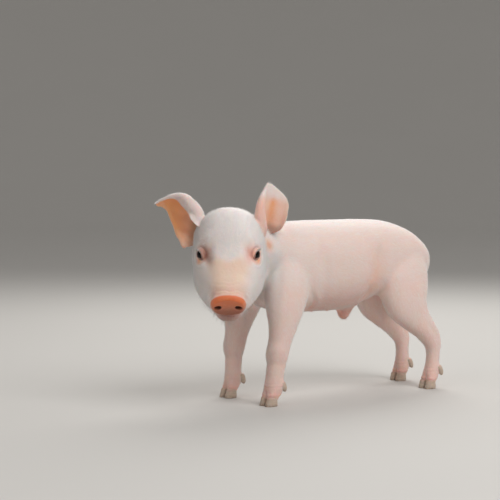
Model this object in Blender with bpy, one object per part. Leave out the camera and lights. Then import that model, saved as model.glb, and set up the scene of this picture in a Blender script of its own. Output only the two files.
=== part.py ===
"""A standing piglet, about ten days old, as a still life-size model.

Blender 4.5, metres, +Z up.  The piglet faces -Y, so its left side is +X.  The origin is on the
floor, under the middle of its box.

The body is modelled whole: smooth ovals carried along the trunk, neck, head, legs and toes are
joined, remeshed and softened, then parted along closed shapes that each hold one limb, the head or
the neck.  Ears, tail, hooves and eyes are made one by one and trimmed to the body they grow from.
"""

import math

import bmesh
import bpy
import numpy as np
from mathutils import Matrix, Vector

# ---------------------------------------------------------------- driving dimensions, in metres
GAP = 0.0003                    # left between neighbouring pieces
FLOOR_CENTRE = (0.0083, -0.0535)  # middle of the model's box in the modelling frame

HEAD_YAW = math.radians(56.0)    # the head is turned to the piglet's left
HEAD_PITCH = math.radians(43.0)  # and points down
BROW = Vector((0.0282, -0.1904, 0.1638))  # on the head's axis, level with the eyes

EYE_CENTRE = (0.0009, 0.0258, 0.0107)  # along the head, sideways, up; mirrored for the right eye
EYE_LOOK = (0.42, 0.80, 0.42)          # where the left eye looks, in the head's directions
EYE_RADIUS = 0.0075
EYE_OPENING = (0.0062, 0.0048)         # half width and half height between the lids
#   the opening's outline from its back corner, over the top and back, as shares of those
EYE_OUTLINE = (
    (-1.0, 0.0), (-0.55, 0.75), (0.1, 1.0), (0.7, 0.62), (1.0, -0.1), (0.45, -0.85), (-0.4, -0.8),
    (-1.0, 0.0),
)

NOSTRIL_SPREAD = 0.0112
NOSTRIL_SIZE = (0.0038, 0.0026)        # half width and half height
NOSTRIL_DEPTH = 0.007
MOUTH_GAP = 0.0008
MOUTH_REACH = 0.014                    # from the bottom of the mouth's groove out past the lips

HOOF_HEIGHT = 0.0105
TOE_SPREAD = 0.0053                    # from the middle of the foot to the middle of a toe
TOE_LEAD = 0.0035                      # how far a hoof stands ahead of the leg's last section

BODY_VOXEL = 0.0024
SOFTENING = 8
BODY_TRIANGLES = 3640                  # roughly, before the body is parted
SHARP = 50.0                           # in degrees: edges that turn more stay crisp


# ---------------------------------------------------------------- the head's own directions
def head_axes():
    """Unit vectors forward along the snout, towards the piglet's left, and up over the brow."""
    forward = Vector((
        math.sin(HEAD_YAW) * math.cos(HEAD_PITCH),
        -math.cos(HEAD_YAW) * math.cos(HEAD_PITCH),
        -math.sin(HEAD_PITCH),
    ))
    left = Vector((math.cos(HEAD_YAW), math.sin(HEAD_YAW), 0.0))
    return forward, left, forward.cross(left)


FORWARD, LEFT, UP = head_axes()
FACING = Vector((math.sin(HEAD_YAW), -math.cos(HEAD_YAW), 0.0))  # the way the face is turned, level


def in_head(forward, left, up):
    """A point given along the head's own directions, from the brow point."""
    return BROW + FORWARD * forward + LEFT * left + UP * up


# ---------------------------------------------------------------- sections carried along a line
def through(rows, steps):
    """Rows of numbers resampled on a smooth (Catmull-Rom) curve through them."""
    rows = np.asarray(rows, float)
    ends = np.vstack([2 * rows[0] - rows[1], rows, 2 * rows[-1] - rows[-2]])
    found = []
    for i in range(len(rows) - 1):
        a, b, c, d = ends[i:i + 4]
        for t in np.linspace(0, 1, steps, endpoint=False):
            found.append(0.5 * (
                2 * b + (c - a) * t + (2 * a - 5 * b + 4 * c - d) * t**2
                + (3 * b - a - 3 * c + d) * t**3
            ))
    found.append(rows[-1])
    return np.array(found)


def loft(mesh, centres, across, above, half_width, rise, drop, square=2.0, sides=28):
    """Adds a closed tube to a bmesh: one soft oval round each centre.

    An oval reaches half_width along across, rise along above and drop against it.  Its outline
    is a superellipse of exponent square, so 2 is a true ellipse and more is boxier.
    """
    count = len(centres)
    square = np.broadcast_to(square, count)
    rings = []
    for i in range(count):
        ring = []
        for angle in np.linspace(0, 2 * math.pi, sides, endpoint=False):
            c, s = math.cos(angle), math.sin(angle)
            x = math.copysign(abs(c) ** (2 / square[i]), c) * half_width[i]
            z = math.copysign(abs(s) ** (2 / square[i]), s) * (rise[i] if s > 0 else drop[i])
            ring.append(mesh.verts.new(Vector(centres[i]) + Vector(across[i]) * x
                                       + Vector(above[i]) * z))
        rings.append(ring)
    for one, two in zip(rings, rings[1:]):
        for k in range(sides):
            n = (k + 1) % sides
            mesh.faces.new((one[k], one[n], two[n], two[k]))
    mesh.faces.new(list(reversed(rings[0])))
    mesh.faces.new(rings[-1])


def upright_frames(centres, across):
    """Section directions for a tube that runs up or down: across, and square to both it and the line."""
    along = np.gradient(centres, axis=0)
    along /= np.linalg.norm(along, axis=1)[:, None]
    ahead = np.cross(across, along)
    ahead /= np.linalg.norm(ahead, axis=1)[:, None]
    return np.tile(across, (len(centres), 1)), ahead


# ---------------------------------------------------------------- trunk, neck and head
#   y, top of the section, bottom of the section, half width
TRUNK_SECTIONS = (
    (-0.152, 0.168, 0.136, 0.014),
    (-0.143, 0.188, 0.117, 0.029),
    (-0.118, 0.2030, 0.1040, 0.0395),
    (-0.080, 0.2065, 0.1000, 0.0440),
    (-0.030, 0.2072, 0.0990, 0.0470),
    (0.010, 0.2075, 0.1020, 0.0465),
    (0.045, 0.2055, 0.1120, 0.0420),
    (0.078, 0.1960, 0.1220, 0.0365),
    (0.099, 0.1840, 0.1270, 0.0300),
    (0.1125, 0.1735, 0.1370, 0.0190),
    (0.1165, 0.1660, 0.1460, 0.0090),
)

#   y and z of the neck's start in the trunk, and of the point that it first bends towards
NECK_START = (-0.0850, 0.1540)
NECK_BEND = (-0.1330, 0.1620)
NECK_END = (-0.034, -0.006)     # along and up in the head, reached straight from behind
NECK_RUN_IN = 0.018
#   share of the neck's length, half width, height over its middle line and depth under it
NECK_SECTIONS = (
    (0.0, 0.0400, 0.0480, 0.0460),
    (0.5, 0.0380, 0.0385, 0.0420),
    (1.0, 0.0360, 0.0310, 0.0380),
)
NECK_STEPS = 15
#   along the head from the brow point, then heights from its axis: top, widest level, bottom;
#   half width, squareness
HEAD_SECTIONS = (
    (-0.061, 0.0180, -0.004, -0.0260, 0.0230, 2.0),
    (-0.055, 0.0290, -0.005, -0.0350, 0.0310, 2.0),
    (-0.042, 0.0380, -0.006, -0.0410, 0.0385, 2.2),
    (-0.024, 0.0405, -0.012, -0.0450, 0.0408, 2.3),
    (-0.006, 0.0360, -0.018, -0.0475, 0.0402, 2.4),
    (0.008, 0.0285, -0.022, -0.0480, 0.0388, 2.4),
    (0.022, 0.0220, -0.020, -0.0460, 0.0352, 2.5),
    (0.036, 0.0178, -0.016, -0.0410, 0.0290, 2.6),
    (0.047, 0.0160, -0.010, -0.0355, 0.0230, 2.5),
    (0.054, 0.0150, -0.008, -0.0260, 0.0185, 2.1),
)
#   along the head, top, bottom, half width of the lower jaw
JAW_SECTIONS = (
    (-0.010, -0.020, -0.0440, 0.0260),
    (0.020, -0.020, -0.0440, 0.0240),
    (0.038, -0.020, -0.0395, 0.0200),
    (0.050, -0.021, -0.0365, 0.0160),
    (0.056, -0.022, -0.0350, 0.0120),
    (0.0595, -0.0245, -0.0325, 0.0070),
)
#   along the head, half height, half width of the snout and its disc
SNOUT_SECTIONS = (
    (0.0460, 0.0130, 0.0155),
    (0.0560, 0.0133, 0.0172),
    (0.0600, 0.0142, 0.0192),
    (0.0640, 0.0142, 0.0192),
    (0.0660, 0.0128, 0.0175),
)
SNOUT_DROP = 0.0010             # how far the disc's middle lies under the head's axis
#   along the head, left and up: how deep the closed mouth's groove reaches, corner to middle
MOUTH_GROOVE = (
    (0.008, 0.0362, -0.0235),
    (0.020, 0.0330, -0.0270),
    (0.034, 0.0272, -0.0265),
    (0.045, 0.0185, -0.0240),
    (0.0515, 0.0000, -0.0225),
)


def add_trunk(mesh):
    y, top, bottom, width = through(TRUNK_SECTIONS, 5).T
    middle = (top + bottom) / 2
    centres = np.column_stack([0 * y, y, middle])
    loft(mesh, centres, [(1, 0, 0)] * len(y), [(0, 0, 1)] * len(y), width,
         top - middle, middle - bottom, square=2.25, sides=40)


def add_neck(mesh):
    """A thick short tube that bends from the trunk's line into the head's."""
    start, end = Vector((0, *NECK_START)), in_head(NECK_END[0], 0, NECK_END[1])
    bend_in, bend_out = Vector((0, *NECK_BEND)), end - FORWARD * NECK_RUN_IN
    steps = np.linspace(0, 1, NECK_STEPS)
    centres = np.array([
        start * (1 - t)**3 + bend_in * 3 * t * (1 - t)**2 + bend_out * 3 * t * t * (1 - t) + end * t**3
        for t in steps
    ])
    along = np.gradient(centres, axis=0)
    lean = np.array([Vector((0, 0, 1)).lerp(UP, t) for t in steps])
    across = np.cross(along, lean)
    across /= np.linalg.norm(across, axis=1)[:, None]
    above = np.cross(across, along)
    above /= np.linalg.norm(above, axis=1)[:, None]
    share, width, rise, drop = np.array(NECK_SECTIONS).T
    loft(mesh, centres, across, above, np.interp(steps, share, width),
         np.interp(steps, share, rise), np.interp(steps, share, drop), sides=32)


def add_head(mesh):
    """The skull with its cheeks, then the lower jaw, then the snout that ends in its disc."""
    along, top, level, bottom, width, square = through(HEAD_SECTIONS, 4).T
    loft(mesh, [in_head(a, 0, v) for a, v in zip(along, level)], [LEFT] * len(along),
         [UP] * len(along), width, top - level, level - bottom, square, 40)
    along, top, bottom, width = through(JAW_SECTIONS, 4).T
    middle = (top + bottom) / 2
    loft(mesh, [in_head(a, 0, v) for a, v in zip(along, middle)], [LEFT] * len(along),
         [UP] * len(along), width, top - middle, middle - bottom, 2.2, 28)
    along, height, width = through(SNOUT_SECTIONS, 3).T
    loft(mesh, [in_head(a, 0, -SNOUT_DROP) for a in along], [LEFT] * len(along),
         [UP] * len(along), width, height, height, 2.3, 36)


# ---------------------------------------------------------------- legs
#   x, y, z, half width, half depth fore and aft, as on the left side
FRONT_LEG = (
    (0.0160, -0.1000, 0.1830, 0.0100, 0.0160),
    (0.0220, -0.1040, 0.1660, 0.0165, 0.0250),
    (0.0290, -0.1110, 0.1380, 0.0190, 0.0285),
    (0.0335, -0.1185, 0.1100, 0.0175, 0.0250),
    (0.0355, -0.1225, 0.0900, 0.0145, 0.0190),
    (0.0365, -0.1265, 0.0740, 0.0125, 0.0148),
    (0.0370, -0.1305, 0.0600, 0.0122, 0.0138),
    (0.0370, -0.1330, 0.0440, 0.0104, 0.0115),
    (0.0370, -0.1350, 0.0300, 0.0102, 0.0105),
    (0.0370, -0.1360, 0.0220, 0.0116, 0.0116),
    (0.0370, -0.1380, 0.0160, 0.0110, 0.0105),
)
HIND_LEG = (
    (0.0120, 0.0640, 0.1860, 0.0080, 0.0160),
    (0.0180, 0.0650, 0.1700, 0.0170, 0.0290),
    (0.0250, 0.0620, 0.1480, 0.0205, 0.0370),
    (0.0310, 0.0590, 0.1250, 0.0195, 0.0360),
    (0.0340, 0.0630, 0.1050, 0.0170, 0.0310),
    (0.0355, 0.0745, 0.0880, 0.0140, 0.0215),
    (0.0365, 0.0880, 0.0740, 0.0122, 0.0165),
    (0.0370, 0.0990, 0.0600, 0.0108, 0.0140),
    (0.0370, 0.1020, 0.0460, 0.0090, 0.0098),
    (0.0370, 0.1010, 0.0300, 0.0092, 0.0094),
    (0.0370, 0.1000, 0.0220, 0.0108, 0.0108),
    (0.0370, 0.0980, 0.0160, 0.0102, 0.0102),
)
#   how far a leg's top and foot are moved: sideways and along, as (x, y)
LEG_SHIFTS = {
    ("front", 1): ((0, 0), (0, 0)),
    ("front", -1): ((-0.001, -0.012), (-0.003, -0.004)),
    ("hind", 1): ((0, 0), (0, 0)),
    ("hind", -1): ((0, 0.010), (0.003, 0.014)),
}
KNEE_HEIGHT = 0.090
LEGS = (
    ("front", 1, "foreleg_left"), ("front", -1, "foreleg_right"),
    ("hind", 1, "hindleg_left"), ("hind", -1, "hindleg_right"),
)
#   sideways from the foot's middle, backwards, height, half width, half depth of a toe
TOE_SECTIONS = (
    (0.0035, 0.0020, 0.0260, 0.0056, 0.0080),
    (0.0048, -0.0010, 0.0160, 0.0056, 0.0080),
    (TOE_SPREAD, -TOE_LEAD, 0.0060, 0.0052, 0.0074),
)
#   sideways from the foot's middle, backwards, height, half width, half depth of a dewclaw
DEWCLAW_SECTIONS = (
    (0.0062, 0.0060, 0.0270, 0.0034, 0.0040),
    (0.0075, 0.0097, 0.0201, 0.0031, 0.0034),
    (0.0084, 0.0122, 0.0155, 0.0011, 0.0012),
)
#   y, z, half width, half depth of the nub under the belly
SHEATH = (
    (-0.0030, 0.1080, 0.0110, 0.0150),
    (-0.0040, 0.0985, 0.0072, 0.0090),
    (-0.0050, 0.0910, 0.0058, 0.0066),
    (-0.0055, 0.0872, 0.0034, 0.0038),
)

# ---------------------------------------------------------------- where the body is parted
HEAD_MARGIN = 0.0050            # how far the head's region stands off the head
#   along the head, top, widest level, bottom, half width of the region round the muzzle
MUZZLE_REGION = (
    (0.047, 0.0260, -0.010, -0.0450, 0.0330),
    (0.068, 0.0260, -0.010, -0.0440, 0.0320),
    (0.085, 0.0200, -0.010, -0.0400, 0.0260),
)
LEG_MARGIN = 0.0070
LEG_TOPS = {"front": 0.150, "hind": 0.166}
DOME_DEPTH = 0.026              # how much of a leg region's top is rounded
UNDER_DOME = 0.012              # from the dome down to the next section
FLATNESS = 3.0                  # in degrees: faces this close to level are joined
MIDLINE = 0.004                 # kept clear between left and right
NECK_PLANE = ((-0.112, 0.210), (-0.150, 0.140))

# ---------------------------------------------------------------- ears, tail and hooves
#   share of the ear's length; half width towards the forehead; towards the cheek; curl radius;
#   thickness
EAR_SECTIONS = (
    (-0.20, 0.0090, 0.0110, 0.0130, 0.0034),
    (-0.07, 0.0150, 0.0220, 0.0150, 0.0034),
    (0.08, 0.0185, 0.0350, 0.0185, 0.0032),
    (0.26, 0.0230, 0.0315, 0.0215, 0.0028),
    (0.46, 0.0235, 0.0235, 0.0250, 0.0025),
    (0.66, 0.0170, 0.0205, 0.0280, 0.0023),
    (0.84, 0.0085, 0.0120, 0.0300, 0.0021),
    (1.00, 0.0016, 0.0016, 0.0300, 0.0018),
)
EAR_STEPS = 8
#   base and tip (along, left, up from the brow point), twist of the opening in degrees, scale of
#   the curl, sway of the middle line towards the cheek, and the fold: how far out it starts,
#   its slant towards the cheek, how far it turns at the tip and at the rim, in degrees, and
#   its radius
EAR_POSES = {
    "right": ((-0.045, -0.0340, 0.0090), (-0.0610, -0.0980, 0.0195), 0, 1.5, -0.0060,
              (0.0220, 38, 56, 100, 0.005)),
    "left": ((-0.045, 0.0330, 0.0080), (-0.0790, 0.0450, 0.0430), 38, 0.9, 0.0050,
             (0.0500, 30, 40, 40, 0.008)),
}
#   x, y, z, radius down the tail, tucked against the rump
TAIL = (
    (0.000, 0.1050, 0.1740, 0.0050),
    (-0.003, 0.1180, 0.1640, 0.0046),
    (-0.008, 0.1250, 0.1500, 0.0040),
    (-0.014, 0.1260, 0.1360, 0.0035),
    (-0.018, 0.1240, 0.1240, 0.0030),
    (-0.016, 0.1250, 0.1130, 0.0026),
    (-0.010, 0.1280, 0.1060, 0.0018),
)
HOOF_SIDES = 10
HOOF_SQUARING = (0.85, 0.90)      # exponents that fill out a hoof's outline: across, lengthways
DEWCLAW_SIDES = 7
#   height, how far it sits forward, half length and half width of a hoof
HOOF_SECTIONS = (
    (0.0000, 0.0014, 0.0082, 0.0048),
    (0.0030, 0.0010, 0.0080, 0.0050),
    (0.0080, 0.0002, 0.0074, 0.0050),
    (0.0105, -0.0002, 0.0068, 0.0047),
)


def leg_rows(pair, side):
    """The sections of one leg, shifted as that leg stands."""
    rows = through(FRONT_LEG if pair == "front" else HIND_LEG, 4)
    rows[:, 0] *= side
    top, foot = (np.array(shift) for shift in LEG_SHIFTS[pair, side])
    share = np.interp(rows[:, 2], [0.016, KNEE_HEIGHT, 0.15], [0, 1, 1])[:, None]
    fade = np.interp(rows[:, 2], [0.12, 0.19], [1, 0.3])[:, None]
    rows[:, :2] += (foot + (top - foot) * share) * fade
    return rows


def add_leg(mesh, pair, side):
    x, y, z, width, depth = leg_rows(pair, side).T
    centres = np.column_stack([x, y, z])
    across, ahead = upright_frames(centres, (1, 0, 0))
    loft(mesh, centres, across, ahead, width, depth, depth, square=2.1, sides=24)


def foot_place(pair, side):
    """Where a leg's last section stands, as (x, y)."""
    return leg_rows(pair, side)[-1, :2]


def add_toes(mesh, pair, side):
    """Two short toes under a leg, which the hooves carry on to the floor."""
    x, y = foot_place(pair, side)
    for turn in (-1, 1):
        rows = through(TOE_SECTIONS, 3)
        centres = rows[:, :3] * (turn, 1, 1) + (x, y, 0)
        across, ahead = upright_frames(centres, (1, 0, 0))
        loft(mesh, centres, across, ahead, rows[:, 3], rows[:, 4], rows[:, 4], sides=16)


def add_sheath(mesh):
    """The small nub under a boar piglet's belly."""
    rows = through(SHEATH, 3)
    centres = np.column_stack([0 * rows[:, 0], rows[:, :2]])
    across, ahead = upright_frames(centres, (1, 0, 0))
    loft(mesh, centres, across, ahead, rows[:, 2], rows[:, 3], rows[:, 3], sides=16)


# ---------------------------------------------------------------- making and shaping objects
def material(name, colour, roughness):
    made = bpy.data.materials.new(name)
    made.use_nodes = True
    surface = made.node_tree.nodes["Principled BSDF"]
    surface.inputs["Base Color"].default_value = (*colour, 1)
    surface.inputs["Roughness"].default_value = roughness
    surface.inputs["Metallic"].default_value = 0
    return made


def object_from(name, mesh):
    """Turns a bmesh into an object of the scene, with its faces pointing out."""
    bmesh.ops.recalc_face_normals(mesh, faces=mesh.faces)
    data = bpy.data.meshes.new(name)
    mesh.to_mesh(data)
    mesh.free()
    made = bpy.data.objects.new(name, data)
    bpy.context.scene.collection.objects.link(made)
    return made


def settled(thing):
    """Gives an object the mesh that its modifiers make, and drops the modifiers."""
    bpy.context.view_layer.update()
    ready = thing.evaluated_get(bpy.context.evaluated_depsgraph_get())
    data = bpy.data.meshes.new_from_object(ready)
    thing.modifiers.clear()
    thing.data = data
    data.name = thing.name
    return thing


def copy_of(thing, name):
    made = bpy.data.objects.new(name, thing.data.copy())
    bpy.context.scene.collection.objects.link(made)
    return made


def remove(*things):
    for thing in things:
        bpy.data.objects.remove(thing)


def cut(thing, cutter, how="DIFFERENCE", solver="EXACT"):
    """Cuts a thing with a cutter, or keeps only what the two share."""
    boolean = thing.modifiers.new("cut", "BOOLEAN")
    boolean.operation = how
    boolean.solver = solver
    boolean.object = cutter
    return settled(thing)


def grown(thing, distance=GAP):
    """A copy whose skin stands out by a distance."""
    made = copy_of(thing, thing.name + "_grown")
    swell = made.modifiers.new("swell", "DISPLACE")
    swell.mid_level = 0
    swell.strength = distance
    return settled(made)


def one_body(thing, flat=0.0):
    """Drops the crumbs that a cut leaves, and joins faces that meet within an angle, in degrees."""
    mesh = bmesh.new()
    mesh.from_mesh(thing.data)
    if flat:
        bmesh.ops.dissolve_limit(mesh, angle_limit=math.radians(flat), verts=mesh.verts,
                                 edges=mesh.edges)
        bmesh.ops.triangulate(mesh, faces=mesh.faces)
    left = set(mesh.verts)
    groups = []
    while left:
        group, edge = set(), [left.pop()]
        while edge:
            vert = edge.pop()
            group.add(vert)
            for link in vert.link_edges:
                other = link.other_vert(vert)
                if other in left:
                    left.remove(other)
                    edge.append(other)
        groups.append(group)
    groups.sort(key=len)
    for group in groups[:-1]:
        bmesh.ops.delete(mesh, geom=list(group), context="VERTS")
    mesh.to_mesh(thing.data)
    mesh.free()
    return thing


# ---------------------------------------------------------------- the body and how it is parted
def whole_body():
    """Trunk, neck, head, legs and toes joined into one soft skin of few triangles."""
    body = bmesh.new()
    add_trunk(body)
    add_neck(body)
    add_head(body)
    add_sheath(body)
    for side in (1, -1):
        for pair in ("front", "hind"):
            add_leg(body, pair, side)
            add_toes(body, pair, side)
    whole = object_from("whole", body)
    remesh = whole.modifiers.new("join", "REMESH")
    remesh.mode = "VOXEL"
    remesh.voxel_size = BODY_VOXEL
    soften = whole.modifiers.new("soften", "SMOOTH")
    soften.factor = 0.5
    soften.iterations = SOFTENING
    settled(whole)
    thin = whole.modifiers.new("thin", "DECIMATE")
    thin.ratio = BODY_TRIANGLES / (2 * len(whole.data.polygons))
    settled(whole)
    floor = bmesh.new()
    bmesh.ops.create_cube(floor, size=1.0)
    bmesh.ops.translate(floor, verts=floor.verts, vec=(0, 0, HOOF_HEIGHT + GAP - 0.5))
    sole = object_from("sole", floor)
    cut(whole, sole)
    remove(sole)
    return one_body(whole)


def head_region(extra):
    """A closed shape round the head and its jowls, rounded behind the ears."""
    along, top, level, bottom, width, _ = np.array(HEAD_SECTIONS[:-2]).T
    margin = HEAD_MARGIN * np.clip((along - along[0]) / 0.020, 0, 1)
    rows = np.column_stack([along, top + margin, level, bottom - margin, width + margin])
    along, top, level, bottom, width = np.vstack([rows, MUZZLE_REGION]).T
    along[0] -= extra
    count = len(along)
    region = bmesh.new()
    loft(region, [in_head(a, 0, v) for a, v in zip(along, level)], [LEFT] * count, [UP] * count,
         width + extra, top - level + extra, level - bottom + extra, 2.2, 14)
    return object_from("head_region", region)


def leg_region(pair, side, extra):
    """A closed shape round one leg, with a domed top inside the shoulder or haunch."""
    rows = leg_rows(pair, side)[::-1]
    top = LEG_TOPS[pair]
    turn = np.linspace(0.2, 1, 4) * math.pi / 2
    shape = np.append(np.sin(turn), np.ones(9))
    below = np.linspace(top - DOME_DEPTH - UNDER_DOME, 0, 9)
    z = np.append(top - DOME_DEPTH * (1 - np.cos(turn)), below)
    x, y, width, depth = (np.interp(z, rows[:, 2], rows[:, i]) for i in (0, 1, 3, 4))
    width = (width + LEG_MARGIN) * shape
    depth = (depth + LEG_MARGIN) * shape
    x = side * np.maximum(abs(x), width + MIDLINE)
    depth[-1] += LEG_MARGIN
    z[0] += extra
    z[-1] -= HOOF_HEIGHT
    count = len(z)
    region = bmesh.new()
    loft(region, np.column_stack([x, y, z]), [(1, 0, 0)] * count, [(0, 1, 0)] * count,
         width + extra, depth + extra, depth + extra, 2.1, 13)
    return object_from("leg_region", region)


def neck_region(extra):
    """All that lies ahead of a leaning plane, from the withers' front to the brisket."""
    (y_top, z_top), (y_low, z_low) = NECK_PLANE
    lean = math.atan2(y_top - y_low, z_top - z_low)
    ahead = Vector((0, -math.cos(lean), math.sin(lean)))
    region = bmesh.new()
    bmesh.ops.create_cube(region, size=1.0)
    place = Vector((0, (y_top + y_low) / 2, (z_top + z_low) / 2)) + ahead * (0.5 - extra)
    bmesh.ops.transform(region, verts=region.verts,
                        matrix=Matrix.Translation(place) @ Matrix.Rotation(-lean, 4, "X"))
    return object_from("neck_region", region)


def parted(whole):
    """The whole body as a dictionary of separate pieces with a thin gap between them."""
    regions = [("head", head_region)]
    for pair, side, name in LEGS:
        regions.append((name, lambda extra, pair=pair, side=side: leg_region(pair, side, extra)))
    regions.append(("neck", neck_region))
    pieces = {}
    rest = copy_of(whole, "trunk")
    for name, region in regions:
        keep, clear = region(0.0), region(GAP)
        piece = copy_of(rest, name)
        pieces[name] = one_body(cut(piece, keep, "INTERSECT", "MANIFOLD"))
        cut(rest, clear, "DIFFERENCE", "MANIFOLD")
        remove(keep, clear)
    pieces["trunk"] = one_body(rest)
    for piece in pieces.values():
        one_body(piece, FLATNESS)
    return pieces


# ---------------------------------------------------------------- eyes, nostrils and mouth
def in_face(side, forward, left, up):
    """A direction given in the head's own directions, mirrored for the right side."""
    return (FORWARD * forward + LEFT * left * side + UP * up).normalized()


def eye_place(side):
    along, out, up = EYE_CENTRE
    return in_head(along, out * side, up)


def ball(name, centre, radius, turn=None, stretch=(1, 1, 1), segments=16, rings=8):
    """A sphere, or an egg when stretched, whose pole looks along a direction."""
    mesh = bmesh.new()
    bmesh.ops.create_uvsphere(mesh, u_segments=segments, v_segments=rings, radius=1.0)
    spin = turn.to_track_quat("Z", "Y").to_matrix().to_4x4() if turn else Matrix()
    size = Matrix.Diagonal((*(Vector(stretch) * radius), 1))
    bmesh.ops.transform(mesh, verts=mesh.verts, matrix=Matrix.Translation(centre) @ spin @ size)
    return object_from(name, mesh)


def eye_cutters(side):
    """The hollow that the eyeball fills, and the slit between the lids."""
    look = in_face(side, *EYE_LOOK)
    socket = ball("socket", eye_place(side), EYE_RADIUS + GAP, look)
    slit = bmesh.new()
    wide, high = EYE_OPENING
    ring = through(EYE_OUTLINE, 2)[:-1]
    lengthways = (UP.cross(look) * side).normalized()
    upright = look.cross(lengthways) * side
    low = [slit.verts.new(eye_place(side) + lengthways * a * wide + upright * b * high)
           for a, b in ring]
    face = slit.faces.new(low)
    pushed = bmesh.ops.extrude_face_region(slit, geom=[face])
    moved = [part for part in pushed["geom"] if isinstance(part, bmesh.types.BMVert)]
    bmesh.ops.translate(slit, verts=moved, vec=look * EYE_RADIUS * 4)
    return socket, object_from("slit", slit)


def nostril_cutter(side):
    centre = in_head(SNOUT_SECTIONS[-1][0], NOSTRIL_SPREAD * side, -SNOUT_DROP)
    wide, high = NOSTRIL_SIZE
    return ball("nostril", centre, 1.0, FORWARD, (wide, high, NOSTRIL_DEPTH), 12, 6)


def mouth_cutter():
    """A thin strip round the muzzle, from one corner of the mouth to the other."""
    left = np.array(MOUTH_GROOVE)
    line = through(np.vstack([left, left[-2::-1] * (1, -1, 1)]), 2)
    slope = np.gradient(line[:, :2], axis=0)
    slope /= np.linalg.norm(slope, axis=1)[:, None]
    mesh = bmesh.new()
    rings = []
    for (along, aside, up), (run, drift) in zip(line, slope):
        ring = []
        for reach, rise in ((0, -0.5), (MOUTH_REACH, -0.5), (MOUTH_REACH, 0.5), (0, 0.5)):
            place = in_head(along - drift * reach, aside + run * reach, up + rise * MOUTH_GAP)
            ring.append(mesh.verts.new(place))
        rings.append(ring)
    for one, two in zip(rings, rings[1:]):
        for k in range(4):
            n = (k + 1) % 4
            mesh.faces.new((one[k], one[n], two[n], two[k]))
    mesh.faces.new(list(reversed(rings[0])))
    mesh.faces.new(rings[-1])
    return object_from("mouth", mesh)


def open_face(head):
    """Cuts the eye sockets, the nostrils and the closed mouth's line into the head."""
    for side in (1, -1):
        for cutter in (*eye_cutters(side), nostril_cutter(side)):
            cut(head, cutter)
            remove(cutter)
    cutter = mouth_cutter()
    cut(head, cutter)
    remove(cutter)
    return one_body(head)


# ---------------------------------------------------------------- ears
def folded(along, aside, fold):
    """Flat leaf places with what lies past a slanting line bent back round a small radius.

    The bend is gentler at the tip than at the cheek's rim.  Returns the new places along and
    aside, and how far behind the leaf each one lies.
    """
    start, slant, tip_angle, rim_angle, radius = fold
    slant = math.radians(slant)
    angle = np.radians(np.interp(aside, (-0.004, 0.008), (tip_angle, rim_angle)))
    past = np.maximum(along * math.cos(slant) + aside * math.sin(slant) - start, 0)
    bent = np.minimum(past / radius, angle)
    rest = past - bent * radius
    forward = radius * np.sin(bent) + rest * np.cos(bent)
    behind = radius * (1 - np.cos(bent)) + rest * np.sin(bent)
    return (along + (forward - past) * math.cos(slant),
            aside + (forward - past) * math.sin(slant), behind)


def ear(name, side, pose, body):
    """A curled leaf with a thickness, its tip folded back.

    The leaf is a flat grid: p along its axis and q aside, towards the cheek.  Once folded, a
    point lies at base + p axis + r sin(q / r) across + (r (1 - cos(q / r)) - behind) opening,
    where r is the curl's radius.  The opening faces as the face does, turned about the axis
    towards the cheek by the pose's twist.
    """
    base, tip, twist, curl, sway, fold = pose
    base, tip = in_head(*base), in_head(*tip)
    axis = (tip - base).normalized()
    facing = (FACING - axis * FACING.dot(axis)).normalized()
    cheekward = axis.cross(facing) * side
    turn = math.radians(twist)
    across = np.array(cheekward * math.cos(turn) - facing * math.sin(turn))
    opening = np.array(facing * math.cos(turn) + cheekward * math.sin(turn))

    share, inner, outer, radius, thick = through(EAR_SECTIONS, 2).T[:, :, None]
    v = np.linspace(-1, 1, EAR_STEPS)
    aside = np.where(v < 0, inner, outer) * v + sway * 4 * share * (1 - share)
    along = share * (tip - base).length + 0 * v
    along, aside, behind = folded(along, aside, fold)
    r = radius * curl
    leaf = (np.array(base) + along[..., None] * np.array(axis)
            + (r * np.sin(aside / r))[..., None] * across
            + (r * (1 - np.cos(aside / r)) - behind)[..., None] * opening)
    normal = np.cross(np.gradient(leaf, axis=1), np.gradient(leaf, axis=0)) * side
    normal /= np.linalg.norm(normal, axis=2, keepdims=True)
    half = (thick / 2 * np.sqrt(1 - 0.85 * v * v))[..., None] * normal

    mesh = bmesh.new()
    front = [[mesh.verts.new(point) for point in row] for row in leaf + half]
    back = [[mesh.verts.new(point) for point in row] for row in leaf - half]
    last = len(front) - 1
    for i in range(last):
        for k in range(EAR_STEPS - 1):
            mesh.faces.new((front[i][k], front[i][k + 1], front[i + 1][k + 1], front[i + 1][k]))
            mesh.faces.new((back[i][k], back[i + 1][k], back[i + 1][k + 1], back[i][k + 1]))
        for k, way in ((0, 1), (EAR_STEPS - 1, -1)):
            mesh.faces.new((front[i][k], front[i + 1][k], back[i + 1][k], back[i][k])[::way])
    for i, way in ((0, 1), (last, -1)):
        for k in range(EAR_STEPS - 1):
            mesh.faces.new((front[i][k], back[i][k], back[i][k + 1], front[i][k + 1])[::way])
    return one_body(cut(object_from(name, mesh), body))


# ---------------------------------------------------------------- tail and hooves
def tail(body):
    rows = through(TAIL, 2)
    mesh = bmesh.new()
    across, above = upright_frames(rows[:, :3], (1, 0, 0))
    loft(mesh, rows[:, :3], across, above, rows[:, 3], rows[:, 3], rows[:, 3], sides=9)
    return one_body(cut(object_from("tail", mesh), body))


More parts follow.
